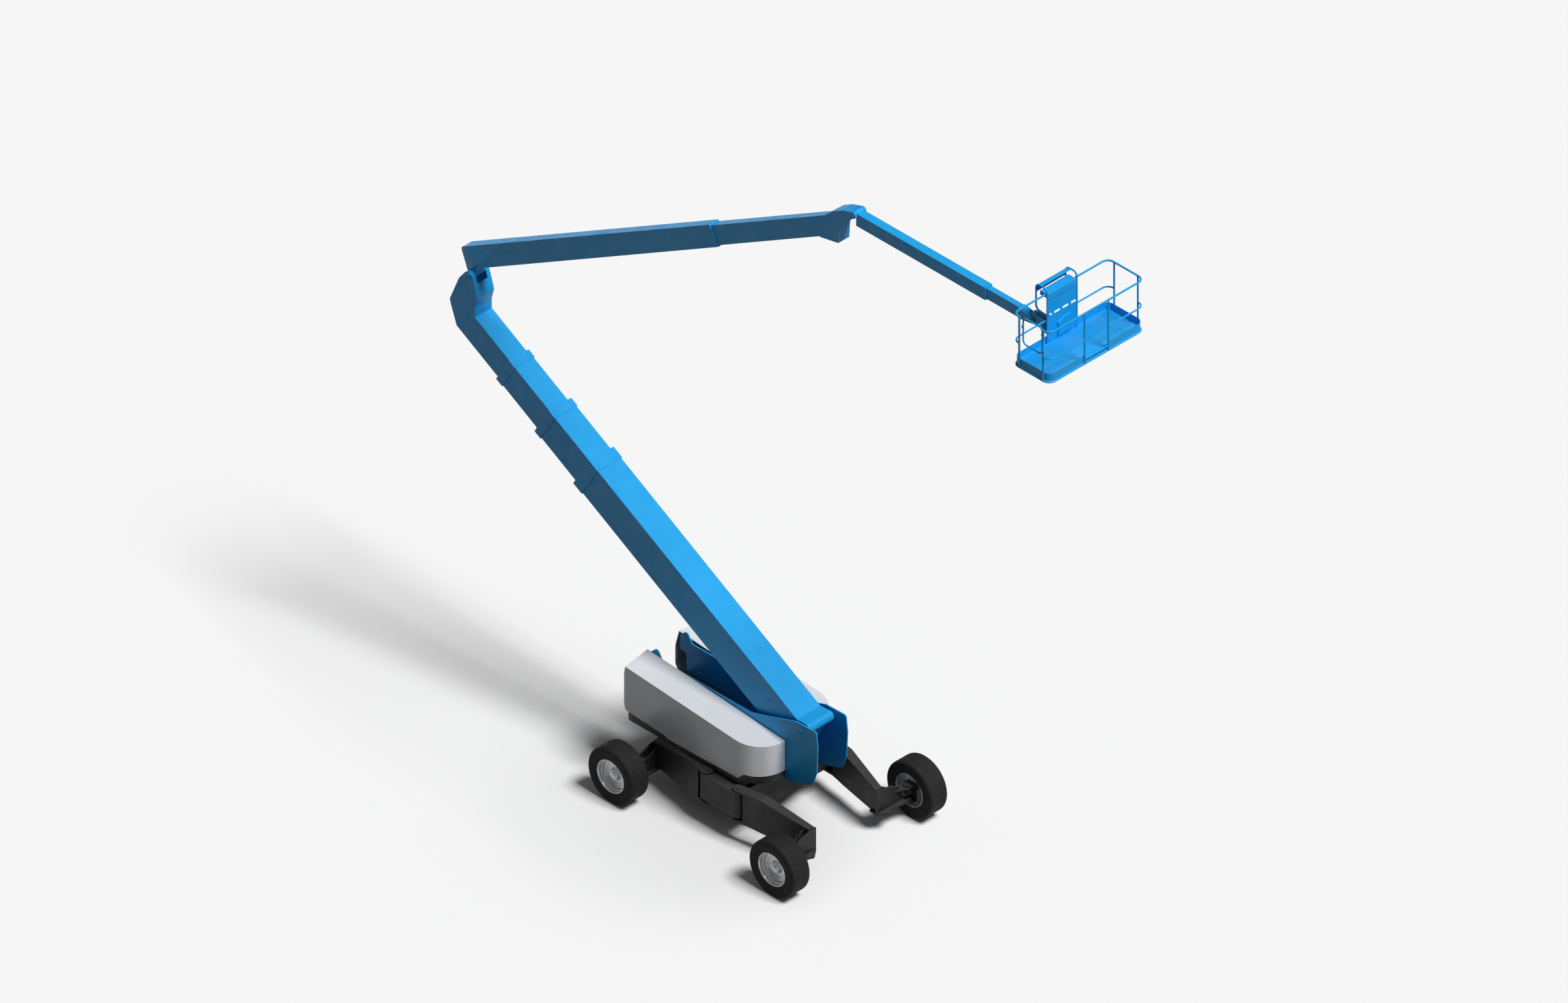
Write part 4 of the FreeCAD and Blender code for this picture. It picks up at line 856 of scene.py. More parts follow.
@dataclass
class AxleEnd(Assembly):
    """What is bolted and welded to one axle leg and its steering knuckle."""

    corner: str
    front: int
    side: int
    pivot_x: float = 0.400
    pivot_y: float = 1.130
    pivot_low: float = 0.443
    pivot_plate_t: float = 0.010
    leg_top: float = 1.1455
    kingpin_x: float = 2.040
    kingpin_y: float = 1.500
    kingpin_low: float = 0.3496
    kingpin_top: float = 0.7304
    axle_z: float = 0.575
    motor_inset: float = 0.030

    def build(self) -> None:
        """Make the leg's and the knuckle's small parts."""
        self.build_leg()
        self.build_knuckle()

    def build_leg(self) -> None:
        """Weld runs across the root of the leg, and the plate under the pivot pin."""
        pivot = (SLEW_X + self.front * self.pivot_x, self.side * self.pivot_y)
        mirrored = Matrix.Diagonal((self.front, self.side, 1.0, 1.0))
        root = Matrix.Translation((*pivot, 0.0)) @ mirrored
        for along, low, high in ((0.222, -0.116, 0.062), (0.400, -0.152, 0.039)):
            self.bench.block((along - 0.0035, low, self.leg_top), (along + 0.0035, high, 1.1490),
                             0.0012, root)
        self.bench.finish(f"leg_welds_{self.corner}", f"leg_{self.corner}", Slot.BLACK)
        under = facing((*pivot, self.pivot_low), (0.0, 0.0, -1.0))
        self.bench.lathe([(0.0, 0.0), (0.078, 0.0), (0.080, 0.002), (0.080, 0.008),
                          (0.078, self.pivot_plate_t), (0.0, self.pivot_plate_t)], under)
        self.bench.ring_of_bolts(under @ raised(self.pivot_plate_t), 0.040, 3, 0.012)
        self.bench.finish(f"pivot_plate_{self.corner}", "chassis", Slot.BLACK)

    def build_knuckle(self) -> None:
        """Kingpin caps and the drive motor's end cover with its hose stubs."""
        across, out = SLEW_X + self.front * self.kingpin_x, self.side * self.kingpin_y
        for height, way in ((self.kingpin_top, 1.0), (self.kingpin_low, -1.0)):
            cap = facing((across, out, height), (0.0, 0.0, way))
            self.bench.lathe([(0.0, 0.0), (0.054, 0.0), (0.056, 0.003), (0.054, 0.009),
                              (0.034, 0.012), (0.030, 0.017), (0.0, 0.018)], cap)
            self.bench.ring_of_bolts(cap @ raised(0.0095), 0.043, 4, 0.0065, 45.0)
        motor = facing((across, out - self.side * self.motor_inset, self.axle_z),
                       (0.0, -self.side, 0.0))
        self.bench.lathe([(0.0, 0.0), (0.066, 0.0), (0.070, 0.003), (0.070, 0.010),
                          (0.062, 0.016), (0.0, 0.017)], motor)
        self.bench.ring_of_bolts(motor @ raised(0.0165), 0.050, 6, 0.007)
        for shift in (-0.020, 0.020):
            stub = motor @ Matrix.Translation((0.0, shift, 0.016))
            self.bench.drum(0.012, 0.010, stub, 6)
            self.bench.drum(0.008, 0.022, stub, 16)
        self.bench.finish(f"kingpin_caps_{self.corner}", f"knuckle_{self.corner}", Slot.BLACK)


@dataclass
class Pin(Assembly):
    """A cross pin's two end caps, with keeper bars where it has them."""

    name: str
    body: str
    centre: Point
    half: float
    radius: float
    face: float
    drop: float
    tilt: float = 0.0
    keeper: bool = True

    def build(self) -> None:
        """Make the caps and the keepers."""
        middle = pitched(self.centre, self.tilt)
        for side in BOTH_SIDES:
            end = middle @ facing((0.0, side * self.half, 0.0), (0.0, side, 0.0))
            self.bench.lathe([(0.0, -0.004), (self.radius * 0.98, -0.004),
                              (self.radius * 0.98, 0.002), (self.radius * 0.84, 0.006),
                              (0.0, 0.0065)], end)
            if self.keeper:
                self.build_keeper(middle, side)
        self.bench.finish(f"{self.name}_keepers", self.body, Slot.BLUE)

    def build_keeper(self, middle: Matrix, side: float) -> None:
        """Bar across one end of the pin, held by two bolts.

        Args:
            middle: The pin's middle.
            side: 1 for the left end, -1 for the right.
        """
        outer = side * (self.half + 0.001)
        reach, rise = self.radius * 1.3, self.radius * 0.28
        self.bench.block((-reach, side * self.face, -self.drop - rise),
                         (reach, outer, -self.drop + rise), 0.002, middle)
        for shift in (-0.85, 0.85):
            head = facing((shift * self.radius, outer, -self.drop), (0.0, side, 0.0))
            self.bench.bolt(middle @ head, self.radius * 0.2)


@dataclass
class Covers(Assembly):
    """Hinges along the covers' inner edges and the catches under their outer edges."""

    slope: float = 0.07644
    top_at_slew: float = 2.0980
    hinge_y: float = 0.3938
    hinge_places: tuple[float, ...] = (-2.05, -1.25, -0.45)
    barrel_half: float = 0.045
    barrel_r: float = 0.0055
    leaf_half: float = 0.040
    leaf_low: float = 2.130
    leaf_t: float = 0.004
    plate_y: float = 0.3875
    skirt_y: float = 1.0540
    catch_places: tuple[float, ...] = (-1.20, -0.20)

    def build(self) -> None:
        """Make both sides' hinges and catches."""
        for name, side in (("left", 1.0), ("right", -1.0)):
            self.build_hinges(name, side)
            self.build_catches(name, side)

    def build_hinges(self, name: str, side: float) -> None:
        """Barrels on leaves that stand on the turret's side plate.

        Args:
            name: Side of the machine.
            side: 1 for the left side, -1 for the right.
        """
        inner, outer = side * self.plate_y, side * (self.plate_y + self.leaf_t)
        for along in self.hinge_places:
            middle = SLEW_X + along
            height = self.top_at_slew - self.slope * along - 0.014
            start = (middle - self.barrel_half, side * self.hinge_y,
                     height + self.barrel_half * self.slope)
            barrel = facing(start, (1.0, 0.0, -self.slope))
            self.bench.drum(self.barrel_r, 2 * self.barrel_half, barrel, 16)
            self.bench.block((middle - self.leaf_half, inner, self.leaf_low),
                             (middle + self.leaf_half, outer, height), 0.001)
            for shift in (-0.022, 0.022):
                place = facing((middle + shift, outer, self.leaf_low + 0.020), (0.0, side, 0.0))
                self.bench.bolt(place, 0.005)
        self.bench.finish(f"cover_hinges_{name}", "turret", Slot.BLACK)

    def build_catches(self, name: str, side: float) -> None:
        """Draw catches on the skirt under the cover's edge.

        Args:
            name: Side of the machine.
            side: 1 for the left side, -1 for the right.
        """
        for along in self.catch_places:
            middle = SLEW_X + along
            for half, low, high, depth in ((0.045, 1.186, 1.234, 0.0045),
                                           (0.018, 1.194, 1.226, 0.0060)):
                self.bench.block((middle - half, side * self.skirt_y, low),
                                 (middle + half, side * (self.skirt_y + depth), high), 0.002)
        self.bench.finish(f"cover_catches_{name}", "turret", Slot.BLACK)


@dataclass
class EngineBay(Assembly):
    """What an open cover shows: engine dress on the left, tank straps and filler on the right."""

    front_x: float = -0.200
    inner_y: float = 0.480
    outer_y: float = 0.960
    engine_top: float = 2.080
    rib_count: int = 7
    rib_start: float = -1.36
    rib_step: float = 0.18
    rib_t: float = 0.022
    tank_top: float = 2.000
    strap_places: tuple[float, ...] = (-1.45, -0.79)
    strap_w: float = 0.04
    strap_t: float = 0.004
    floor_z: float = 1.191
    base: Matrix = field(default_factory=lambda: Matrix.Translation((SLEW_X, 0.0, 0.0)))

    def build(self) -> None:
        """Make both bays."""
        self.build_engine()
        self.build_filter()
        self.build_pulleys()
        self.build_tank()

    def build_engine(self) -> None:
        """Rocker cover, ribs, sump line and manifold."""
        side, base = self.outer_y, self.base
        self.bench.block((-1.42, 0.60, self.engine_top), (-0.66, 0.84, self.engine_top + 0.045),
                         0.016, base)
        for number in range(self.rib_count):
            along = self.rib_start + number * self.rib_step
            self.bench.block((along, side - 0.01, 1.42), (along + self.rib_t, side + 0.022, 1.88),
                             0.004, base)
        self.bench.block((-1.46, side - 0.01, 1.355), (-0.24, side + 0.014, 1.395), 0.004, base)
        self.bench.block((-1.44, side - 0.01, 1.93), (-0.26, side + 0.040, 2.01), 0.012, base)
        for number in range(6):
            head = facing((self.rib_start + number * 0.22, side + 0.014, 1.375), (0.0, 1.0, 0.0))
            self.bench.bolt(base @ head, 0.010)
        self.bench.finish("engine_dress", "turret", Slot.ENGINE)

    def build_filter(self) -> None:
        """Filter canister on the engine's outer face."""
        canister = self.base @ facing((-1.02, self.outer_y - 0.010, 1.64), FORWARD)
        self.bench.lathe([(0.0, 0.0), (0.050, 0.0), (0.062, 0.010), (0.064, 0.030),
                          (0.064, 0.250), (0.058, 0.262), (0.030, 0.270), (0.0, 0.270)],
                         canister, 40)
        self.bench.finish("engine_filter", "turret", Slot.ENGINE, coat=FILTER_PAINT)

    def build_pulleys(self) -> None:
        """Pulleys on the engine's front face."""
        for across, height, radius in ((0.72, 1.48, 0.120), (0.72, 1.80, 0.085),
                                       (0.87, 1.66, 0.060)):
            wheel = self.base @ facing((self.front_x, across, height), FORWARD)
            self.bench.lathe([(0.0, 0.0), (radius * 0.5, 0.0), (radius * 0.5, 0.030),
                              (radius, 0.032), (radius, 0.038), (radius * 0.90, 0.044),
                              (radius * 0.90, 0.048), (radius, 0.054), (radius, 0.060),
                              (radius * 0.80, 0.062), (radius * 0.75, 0.050),
                              (radius * 0.30, 0.050), (radius * 0.28, 0.066), (0.0, 0.066)],
                             wheel, 40)
        self.bench.finish("engine_pulleys", "turret", Slot.ENGINE, coat=PULLEY_PLASTIC)

    def build_tank(self) -> None:
        """Straps round the tank and its filler cap."""
        side, crown = -self.outer_y, self.tank_top + self.strap_t
        for along in self.strap_places:
            end = along + self.strap_w
            self.bench.block((along, side - self.strap_t, self.floor_z),
                             (end, side + 0.002, crown), 0.001, self.base)
            self.bench.block((along, side - self.strap_t, self.tank_top - 0.002),
                             (end, -self.inner_y + 0.004, crown), 0.001, self.base)
            self.bench.block((along - 0.006, side - 0.016, 1.56),
                             (along + 0.046, side - 0.003, 1.63), 0.003, self.base)
        self.bench.finish("tank_straps", "turret", Slot.PIN)
        filler = self.base @ facing((-0.62, -0.74, self.tank_top), UP)
        self.bench.lathe([(0.0, 0.0), (0.052, 0.0), (0.052, 0.016), (0.044, 0.020),
                          (0.044, 0.028), (0.058, 0.030), (0.060, 0.036), (0.060, 0.056),
                          (0.052, 0.062), (0.0, 0.062)], filler, 36)
        self.bench.block((-0.008, -0.050, 0.060), (0.008, 0.050, 0.072), 0.003, filler)
        self.bench.finish("tank_filler", "turret", Slot.TANK)


@dataclass
class Collar(Assembly):
    """Pad holders and bolt rows round the outer end of one telescoping section."""

    name: str
    body: str
    base: Matrix
    end: float
    way: float
    axis_z: float
    width: float
    height: float
    step: float
    rows: tuple[float, ...]
    size: float
    bolt_share: float = 0.36
    holder_share: float = 0.55

    def build(self) -> None:
        """Make the holders on the mouth and the bolts on the four sides."""
        half_y, half_z = self.width / 2 + self.step, self.height / 2 + self.step
        inner = self.way * self.end
        span = sorted((inner, inner + self.way * self.size * 0.8))
        for side in BOTH_SIDES:
            for share in (-0.5, 0.5):
                self.holder(span, (share * self.width, side * half_z), True)
                self.holder(span, (side * half_y, share * self.height), False)
            for back in self.rows:
                for share in (-self.bolt_share, self.bolt_share):
                    along = inner - self.way * back
                    self.bolt((along, share * self.width, self.axis_z + side * half_z),
                              (0.0, 0.0, side))
                    self.bolt((along, side * half_y, self.axis_z + share * self.height),
                              (0.0, side, 0.0))
        self.bench.finish(f"{self.name}_pad_bolts", self.body, Slot.BLUE)

    def bolt(self, at: Point, way: Point) -> None:
        """One bolt of the collar's own size."""
        self.bench.bolt(self.base @ facing(at, way), self.size)

    def holder(self, span: list[float], at: tuple[float, float], level: bool) -> None:
        """One pad holder on the collar's mouth.

        Args:
            span: Its two ends along the boom.
            at: Where its outer edge lies, across and above the boom's middle line.
            level: Whether it lies on the top or underside.
        """
        (start, finish), (across, above) = span, at
        reach, rim = self.width * 0.12, self.step * 0.8
        if level:
            middle, inward = across * self.holder_share, above - math.copysign(rim, above)
            self.bench.block((start, middle - reach, self.axis_z + above),
                             (finish, middle + reach, self.axis_z + inward), 0.0015, self.base)
        else:
            middle, inward = above * self.holder_share, across - math.copysign(rim, across)
            self.bench.block((start, across, self.axis_z + middle - reach),
                             (finish, inward, self.axis_z + middle + reach), 0.0015, self.base)


@dataclass
class Booms(Assembly):
    """Small parts of the lower boom, the upper boom and the jib."""

    lower: Matrix = field(default_factory=lambda: pitched(FOOT_PIN, 30.0))
    upper: Matrix = field(default_factory=lambda: pitched(KNUCKLE_PIN, -30.0))
    jib: Matrix = field(default_factory=lambda: Matrix.Translation(JIB_PIN))
    jib_half: float = 0.089
    doubler_y: float = 0.1174
    doubler_t: float = 0.0034
    head_low: float = -0.700
    head_top: float = -0.120
    head_half: float = 0.215
    head_seam: tuple[float, float] = (-9.701, -9.693)
    bead_t: float = 0.003
    closing_half: float = 0.0972

    def build(self) -> None:
        """Make the collars' bolts, the pins' ends, the seams and the plates."""
        for part in (*self.collars(), *self.pins()):
            part.build()
        self.build_jib_seams()
        self.build_closing_plate()
        self.build_foot_plates()
        self.build_head_seam()

    def collars(self) -> list[Collar]:
        """Where one section slides in another.

        Returns:
            The collars, from the turret out.
        """
        bench, lower = self.bench, self.lower
        return [
            Collar(bench, "lower_collar_1", "lower_section_1", lower, end=6.316, way=-1.0,
                   axis_z=-0.410, width=0.590, height=0.770, step=0.016, rows=(0.06, 0.19),
                   size=0.011),
            Collar(bench, "lower_collar_2", "lower_section_2", lower, end=7.500, way=-1.0,
                   axis_z=-0.410, width=0.540, height=0.695, step=0.016, rows=(0.05, 0.13),
                   size=0.010),
            Collar(bench, "lower_collar_3", "lower_section_3", lower, end=8.684, way=-1.0,
                   axis_z=-0.410, width=0.470, height=0.615, step=0.016, rows=(0.05, 0.13),
                   size=0.010),
            Collar(bench, "upper_frame", "upper_section_1", self.upper, end=7.218, way=1.0,
                   axis_z=0.290, width=0.235, height=0.440, step=0.0, rows=(0.03, 0.09),
                   size=0.007),
            Collar(bench, "jib_frame", "jib_section_1", self.jib, end=3.302, way=1.0,
                   axis_z=-0.098, width=0.178, height=0.267, step=0.0, rows=(0.03, 0.09),
                   size=0.006),
        ]

    def pins(self) -> list[Pin]:
        """The cross pins of the booms.

        Returns:
            The pins, from the turret out.
        """
        bench = self.bench
        return [
            Pin(bench, "foot_pin", "turret", FOOT_PIN, half=0.3995, radius=0.055, face=0.3875,
                drop=0.082),
            Pin(bench, "knuckle_pin", "lower_section_4", KNUCKLE_PIN, half=0.227, radius=0.045,
                face=0.215, drop=0.066, tilt=30.0),
            Pin(bench, "jib_pin", "upper_section_2", JIB_PIN, half=0.150, radius=0.032,
                face=0.140, drop=0.046, tilt=-30.0, keeper=False),
            Pin(bench, "level_pin", "jib_section_2", LEVEL_PIN, half=0.088, radius=0.028,
                face=0.080, drop=0.040, keeper=False),
        ]

    def build_jib_seams(self) -> None:
        """Weld seams across both sides of the jib, painted a lighter blue than the boom as a
        painted highlight along them.
        """
        slant = self.jib @ pitched((0.372, 0.0, -0.066), 44.4)
        for side in BOTH_SIDES:
            self.bench.block((-0.148, side * self.jib_half, -0.0036),
                             (0.148, side * (self.jib_half + 0.0022), 0.0036), 0.0008, slant)
        self.bench.finish("jib_weld_seams", "jib_section_1", Slot.BLUE, coat=SEAM_HIGHLIGHT_PAINT)

    def build_closing_plate(self) -> None:
        """Wedge that closes the upper boom's last section onto its head."""
        near = -self.closing_half
        corners = [(10.4002, near, 0.3625), (10.5905, near, 0.4850), (10.4002, near, 0.4850)]
        self.bench.plate(corners, (0.0, 2 * self.closing_half, 0.0), 0.0, self.upper)
        self.bench.finish("upper_boom_closing_plate", "upper_section_2", Slot.BLUE)

    def build_foot_plates(self) -> None:
        """Doubler plates on both sides of the upper boom's foot, clear of its pin."""
        outline = [(-0.035, 0.490), (0.340, 0.490), (0.622, 0.240), (0.636, 0.215), (0.632, 0.185),
                   (0.600, 0.160), (0.200, 0.085), (0.090, 0.052), (-0.088, 0.060)]
        for side in BOTH_SIDES:
            corners = [(along, side * self.doubler_y, above) for along, above in outline]
            self.bench.plate(corners, (0.0, side * self.doubler_t, 0.0), 0.0008, self.upper)
        self.bench.finish("upper_foot_doublers", "upper_section_1", Slot.BLUE)

    def build_head_seam(self) -> None:
        """Weld seam round the joint between the lower boom's last section and its head."""
        (start, end), low, top, half = self.head_seam, self.head_low, self.head_top, self.head_half
        for side in BOTH_SIDES:
            self.bench.block((start, side * half, low), (end, side * (half + self.bead_t), top),
                             0.001, self.lower)
        self.bench.block((start, -half, top), (end, half, top + self.bead_t), 0.001, self.lower)
        self.bench.block((start, -half, low - self.bead_t), (end, half, low), 0.001, self.lower)
        self.bench.finish("lower_head_weld", "lower_section_4", Slot.BLUE)


@dataclass
class Rotator(Assembly):
    """Bolts and the shaft nuts of the platform rotator."""

    top_z: float = 0.1824
    low_z: float = -0.0924

    def build(self) -> None:
        """Make a nut on a washer and a ring of bolts at both ends."""
        for height, way in ((self.top_z, 1.0), (self.low_z, -1.0)):
            face = facing((TURN_AXIS[0], 0.0, TURN_AXIS[2] + height), (0.0, 0.0, way))
            self.bench.ring_of_bolts(face, 0.062, 8, 0.0085)
            self.bench.drum(0.030, 0.016, face @ raised(0.003), 6, 0.95)
            self.bench.drum(0.037, 0.005, face, 28)
        self.bench.finish("rotator_bolts", "platform", Slot.PIN)


@dataclass
class Platform(Assembly):
    """Guard rails, gate, control hoops and floor sheet of the work platform."""

    near: float = 0.414
    far: float = 1.326
    side: float = 1.201
    base_z: float = -0.020
    top_z: float = 1.080
    mid_z: float = 0.504
    entry_z: float = 0.097
    bend: float = 0.140
    rail_r: float = 0.019
    mid_r: float = 0.016
    loop_start: float = 0.87
    post_r: float = 0.0175
    post_back: float = 0.570
    post_front: float = 1.170
    gate_post_r: float = 0.020
    gate_gap: float = 0.060
    gate_r: float = 0.015
    gate_h: float = 0.576
    entry: float = 0.300
    toe_h: float = 0.165
    hoop_low_y: float = -0.372
    hoop_high_y: float = 0.378
    hoop_gap: float = 0.036
    hoop_out: float = 0.284
    hoop_low: float = 0.640
    hoop_top: float = 1.225
    hoop_bend: float = 0.095
    hoop_r: float = 0.017
    hood_drop: float = 0.185
    hood_t: float = 0.004
    place: Matrix = field(default_factory=lambda: Matrix.Translation(
        (TURN_AXIS[0], PLATFORM_Y, TURN_AXIS[2])))

    def build(self) -> None:
        """Make the rails and then what they carry."""
        self.build_rails()
        self.build_beads()
        self.build_sleeves()
        self.build_gate()
        self.build_hoops()
        self.build_hood()
        self.build_floor()
        self.dress_console()

    def leg_x(self) -> float:
        """Middle of the hoops' front legs."""
        return self.near + self.hoop_gap

    def posts(self) -> list[tuple[float, float]]:
        """Where the posts stand, apart from the gate's."""
        return [(self.post_back, self.side), (self.post_front, self.side),
                (self.far, -self.entry), (self.far, self.entry)]

    def at(self, across: float, along: float, height: float) -> Matrix:
        """A place on the platform."""
        return self.place @ Matrix.Translation((across, along, height))

    def build_rails(self) -> None:
        """Base rail, the two lengths of top rail and the mid rails."""
        near, far, side = self.near, self.far, self.side
        loop = [(self.loop_start, -side), (far, -side), (far, side), (near, side), (near, -side)]
        self.bench.tube([(*spot, self.base_z) for spot in loop], self.rail_r, self.bend, True,
                        self.place)
        self.bench.finish("base_rail_tube", "platform", Slot.BLUE, replaces=["platform_base_rail"])
        corner = [(self.post_back, -side), (near, -side), (near, self.hoop_low_y)]
        tops = [corner, [(near, self.hoop_high_y), (near, side), (far, side), (far, -side),
                         (self.post_front, -side)]]
        mids = [corner, [(near, self.hoop_high_y), (near, side), (self.post_back, side)],
                [(self.post_front, side), (far, side), (far, self.entry)],
                [(far, -self.entry), (far, -side), (self.post_front, -side)]]
        self.build_runs(tops, self.top_z, self.rail_r)
        self.bench.finish("top_rail_tubes", "platform", Slot.BLUE, replaces=["platform_top_rails"])
        self.build_runs(mids, self.mid_z, self.mid_r)
        self.build_runs([[(far, -self.entry), (far, self.entry)]], self.base_z + self.entry_z,
                        self.mid_r)
        self.bench.finish("mid_rail_tubes", "platform", Slot.BLUE, replaces=["platform_mid_rails"])

    def build_runs(self, runs: list[list[tuple[float, float]]], height: float,
                   radius: float) -> None:
        """Rails at one height.

        Args:
            runs: Corners of each rail.
            height: Height of their middle lines.
            radius: Radius of the tubes.
        """
        for run in runs:
            self.bench.tube([(*spot, height) for spot in run], radius, self.bend,
                            place=self.place)

    def build_beads(self) -> None:
        """Weld beads round the feet of all posts and under the top rail."""
        foot, head = self.base_z + self.post_r, self.top_z - 0.0245
        for across, along in self.posts():
            reach = 0.0012 if across == self.far else 0.0042
            for height in (foot, head):
                self.build_bead(self.at(across, along, height), self.post_r, reach)
        for across in (self.post_back, self.post_front):
            self.build_bead(self.at(across, -self.side, foot), self.gate_post_r, 0.0042)
        self.bench.finish("post_weld_beads", "platform", Slot.BLUE)

    def build_bead(self, foot: Matrix, radius: float, reach: float) -> None:
        """One weld bead round a post.

        Args:
            foot: Middle of its lower end.
            radius: Radius of the post.
            reach: How far it stands out.
        """
        inner, shoulder = radius - 0.002, radius + reach * 0.7
        self.bench.lathe([(inner, 0.0), (shoulder, 0.0005), (radius + reach, 0.0035),
                          (shoulder, 0.0065), (inner, 0.007), (inner, 0.0)], foot, 24)

    def build_sleeves(self) -> None:
        """Sleeves round the posts in the toe boards, and caps on the gate posts."""
        low, high = self.base_z + 0.0235, self.base_z + 0.0195 + self.toe_h
        inner = self.post_r + 0.0001
        for across, along in self.posts():
            outer = 0.0188 if across == self.far else 0.0202
            self.bench.lathe([(inner, low), (outer, low), (outer, high), (inner, high),
                              (inner, low)], self.at(across, along, 0.0), 32)
        self.bench.finish("post_sleeves", "platform", Slot.BLUE)
        for across in (self.post_back, self.post_front):
            head = self.at(across, -self.side, self.top_z + self.rail_r - 0.002)
            self.bench.lathe([(0.0, 0.0), (0.0195, 0.0), (0.0205, 0.0025), (0.0190, 0.0055),
                              (0.010, 0.0070), (0.0, 0.0075)], head, 24)
        self.bench.finish("gate_post_caps", "platform", Slot.BLUE)

    def build_gate(self) -> None:
        """Gate loop with two hinge rings and a latch."""
        left, right = self.post_back + self.gate_gap, self.post_front - self.gate_gap
        low, across, top = self.top_z - self.gate_h, 0.040 - self.side, self.top_z
        loop = [((left + right) / 2, low), (right, low), (right, top), (left, top), (left, low)]
        self.bench.tube([(along, across, height) for along, height in loop], self.gate_r, 0.084,
                        True, self.place)
        for height in (low + 0.130, top - 0.130):
            ring = self.at(self.post_front, -self.side, height - 0.025)
            self.bench.lathe([(0.0204, 0.0), (0.0290, 0.0), (0.0303, 0.002), (0.0303, 0.048),
                              (0.0290, 0.050), (0.0204, 0.050), (0.0204, 0.0)], ring, 32)
            self.bench.block((right - 0.002, 0.004 - self.side, height - 0.015),
                             (self.post_front - 0.022, 0.040 - self.side, height + 0.015), 0.004,
                             self.place)
        self.bench.block((left - 0.034, across - 0.008, top - 0.250),
                         (left - 0.008, across + 0.008, top - 0.190), 0.003, self.place)
        self.bench.finish("gate_loop", "gate", Slot.BLUE, replaces=["platform_gate"])

    def build_hoops(self) -> None:
        """The two control hoops on their foot plates."""
        leg, back = self.leg_x(), self.leg_x() - self.hoop_out
        low, top = self.base_z + self.hoop_low, self.base_z + self.hoop_top
        floor = self.base_z + 0.039
        for across in (self.hoop_low_y, self.hoop_high_y):
            route = [(leg, across, low), (back, across, low + 0.030), (back, across, top),
                     (leg, across, top), (leg, across, floor)]
            self.bench.tube(route, self.hoop_r, self.hoop_bend, place=self.place)
            self.bench.block((leg - 0.030, across - 0.026, floor),
                             (leg + 0.030, across + 0.026, floor + 0.005), 0.001, self.place)
        self.bench.finish("hoop_tubes", "platform", Slot.BLUE, replaces=["platform_hoops"])

    def build_hood(self) -> None:
        """Bent sheet that follows the hoops' rear bend over the controls, with three ribs."""
        mesh, bend = self.bench.mesh, self.hoop_bend
        back, top = self.leg_x() - self.hoop_out, self.base_z + self.hoop_top
        low, crown = top - self.hood_drop, top - bend
        ends = (self.hoop_low_y + 0.014, self.hoop_high_y - 0.014)
        edge = mesh.edges.new([mesh.verts.new((back, across, low)) for across in ends])
        last = self.bench.draw_out([edge], (0.0, 0.0, crown - low))
        last = self.bench.swing(last, (back + bend, 0.0, crown), (0.0, 1.0, 0.0), math.pi / 2, 7)
        self.bench.draw_out(last, (0.050, 0.0, 0.0))
        bmesh.ops.recalc_face_normals(mesh, faces=mesh.faces[:])
        bmesh.ops.solidify(mesh, geom=mesh.faces[:], thickness=self.hood_t)
        bmesh.ops.transform(mesh, matrix=self.place, verts=mesh.verts[:])
        rib_out, rib_r = 0.0985, 0.0030
        for angle in (22.0, 48.0, 74.0):
            turn = math.radians(angle)
            along, above = back + bend - rib_out * math.cos(turn), crown + rib_out * math.sin(turn)
            self.bench.tube([(along, ends[0], above), (along, ends[1], above)], rib_r, 0.1,
                            place=self.place, sides=10)
        self.bench.finish("control_hood", "platform", Slot.BLUE)

    def build_floor(self) -> None:
        """Tread sheet on the floor, just inside the toe boards."""
        low, inset = self.base_z + 0.0388, 0.052
        self.bench.block((self.near + inset, -self.side + inset, low),
                         (self.far - inset, self.side - inset, low + 0.0024), 0.0008, self.place)
        self.bench.finish("floor_tread_sheet", "platform", Slot.BLUE, coat=FLOOR_PAINT)

    def dress_console(self) -> None:
        """Folded lips, hinge strips and screws on the two control panels."""
        face = self.leg_x() + 0.004
        back = face - 0.001
        left, right = self.hoop_low_y + 0.020, self.hoop_high_y - 0.020
        self.bench.block((back, left, 0.566), (face + 0.005, right, 0.592), 0.0015, self.place)
        self.bench.block((back, left, 0.955), (face + 0.0075, right, 0.985), 0.0015, self.place)
        for start in (left + 0.012, right - 0.042):
            self.bench.block((back, start, 0.030), (face + 0.004, start + 0.030, 0.140), 0.0012,
                             self.place)
        for across in (left + 0.018, right - 0.018):
            for height in (0.20, 0.38, 0.53, 0.66, 0.80, 0.93):
                self.bench.bolt(self.place @ facing((face, across, height), FORWARD), 0.0055)
        self.bench.finish("console_trim", "platform", Slot.BLUE)


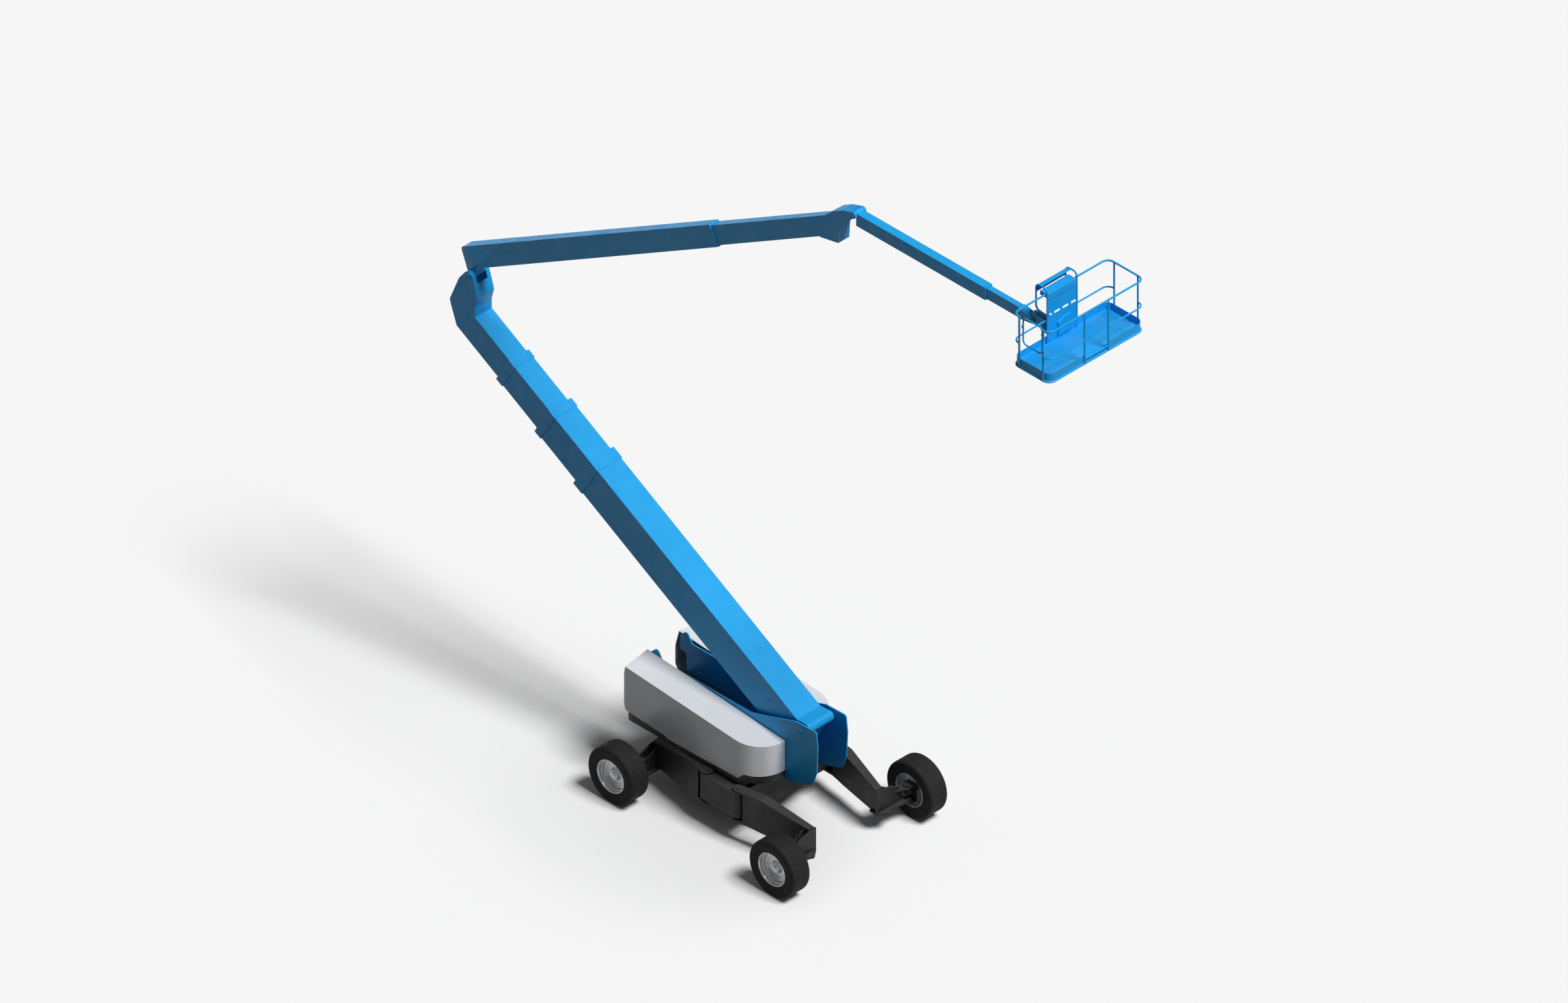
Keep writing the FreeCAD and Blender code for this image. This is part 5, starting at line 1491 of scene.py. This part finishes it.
@dataclass
class Studio:
    """Pale floor, one broad sun with an even sky, and the camera of the photograph."""

    width: int = 2408
    pixels_per_metre: float = 85.8
    azimuth: float = 45.0
    elevation: float = 35.264
    target: Point = (0.0661, 0.0661, 6.795)
    distance: float = 60.0
    floor_half: float = 150.0
    floor_seen: Colour = (0.97, 0.97, 0.97)
    floor_thrown: Colour = (0.08, 0.08, 0.08)
    sun_energy: float = 3.1
    sun_angle: float = 20.0
    sun_way: Point = (-0.50, -0.08, -0.86)
    sky_strength: float = 0.10

    def build(self) -> None:
        """Make the camera, the floor and the light."""
        self.build_camera()
        self.build_floor()
        self.build_light()

    def build_camera(self) -> None:
        """Parallel camera at the photograph's angle."""
        data = bpy.data.cameras.new("camera")
        data.type = "ORTHO"
        data.ortho_scale = self.width / self.pixels_per_metre
        data.clip_end = 300.0
        camera = place_in_scene("camera", data)
        turn, lift = math.radians(self.azimuth), math.radians(self.elevation)
        sight = Vector((-math.sin(turn) * math.cos(lift), math.cos(turn) * math.cos(lift),
                        -math.sin(lift)))
        camera.location = Vector(self.target) - sight * self.distance
        camera.rotation_euler = sight.to_track_quat("-Z", "Y").to_euler()
        bpy.context.scene.camera = camera

    def build_floor(self) -> None:
        """Floor that shows white to the camera and throws little light back."""
        mesh = bmesh.new()
        bmesh.ops.create_grid(mesh, x_segments=1, y_segments=1, size=self.floor_half)
        data = bpy.data.meshes.new("studio_floor")
        mesh.to_mesh(data)
        mesh.free()
        floor = place_in_scene("studio_floor", data)
        mix = Recipe("studio_floor")
        path = mix.add("ShaderNodeLightPath").outputs
        seen = mix.combine("MAXIMUM", path["Is Camera Ray"], path["Is Glossy Ray"])
        mix.put("Base Color", mix.blend(seen, self.floor_thrown, self.floor_seen))
        mix.put("Roughness", 0.9)
        mix.put("Specular IOR Level", 0.0)
        data.materials.append(mix.material)

    def build_light(self) -> None:
        """One broad sun and an even sky."""
        key = bpy.data.lights.new("key", "SUN")
        key.energy = self.sun_energy
        key.angle = math.radians(self.sun_angle)
        lamp = place_in_scene("key", key)
        lamp.rotation_euler = Vector(self.sun_way).to_track_quat("-Z", "Y").to_euler()
        world = bpy.data.worlds.new("sky")
        world.use_nodes = True
        bpy.context.scene.world = world
        background = world.node_tree.nodes["Background"].inputs
        background["Color"].default_value = (1.0, 1.0, 1.0, 1.0)
        background["Strength"].default_value = self.sky_strength
        bpy.context.scene.view_settings.view_transform = "Standard"


def main() -> None:
    """Build the studio, the finishes and every sub-assembly."""
    logging.basicConfig(level=logging.INFO, format="%(name)s: %(message)s")
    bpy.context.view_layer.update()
    Studio().build()
    shop = Paintshop()
    shop.coat_nodes()
    bench = Bench(shop)
    for corner, front, side in (("fl", 1, 1), ("fr", 1, -1), ("rl", -1, 1), ("rr", -1, -1)):
        Wheel(bench, corner, front, side).build()
        AxleEnd(bench, corner, front, side).build()
    for assembly in (Covers, EngineBay, Booms, Rotator, Platform):
        assembly(bench).build()
    LOG.info("boom lift finished")


if __name__ == "__main__":
    main()
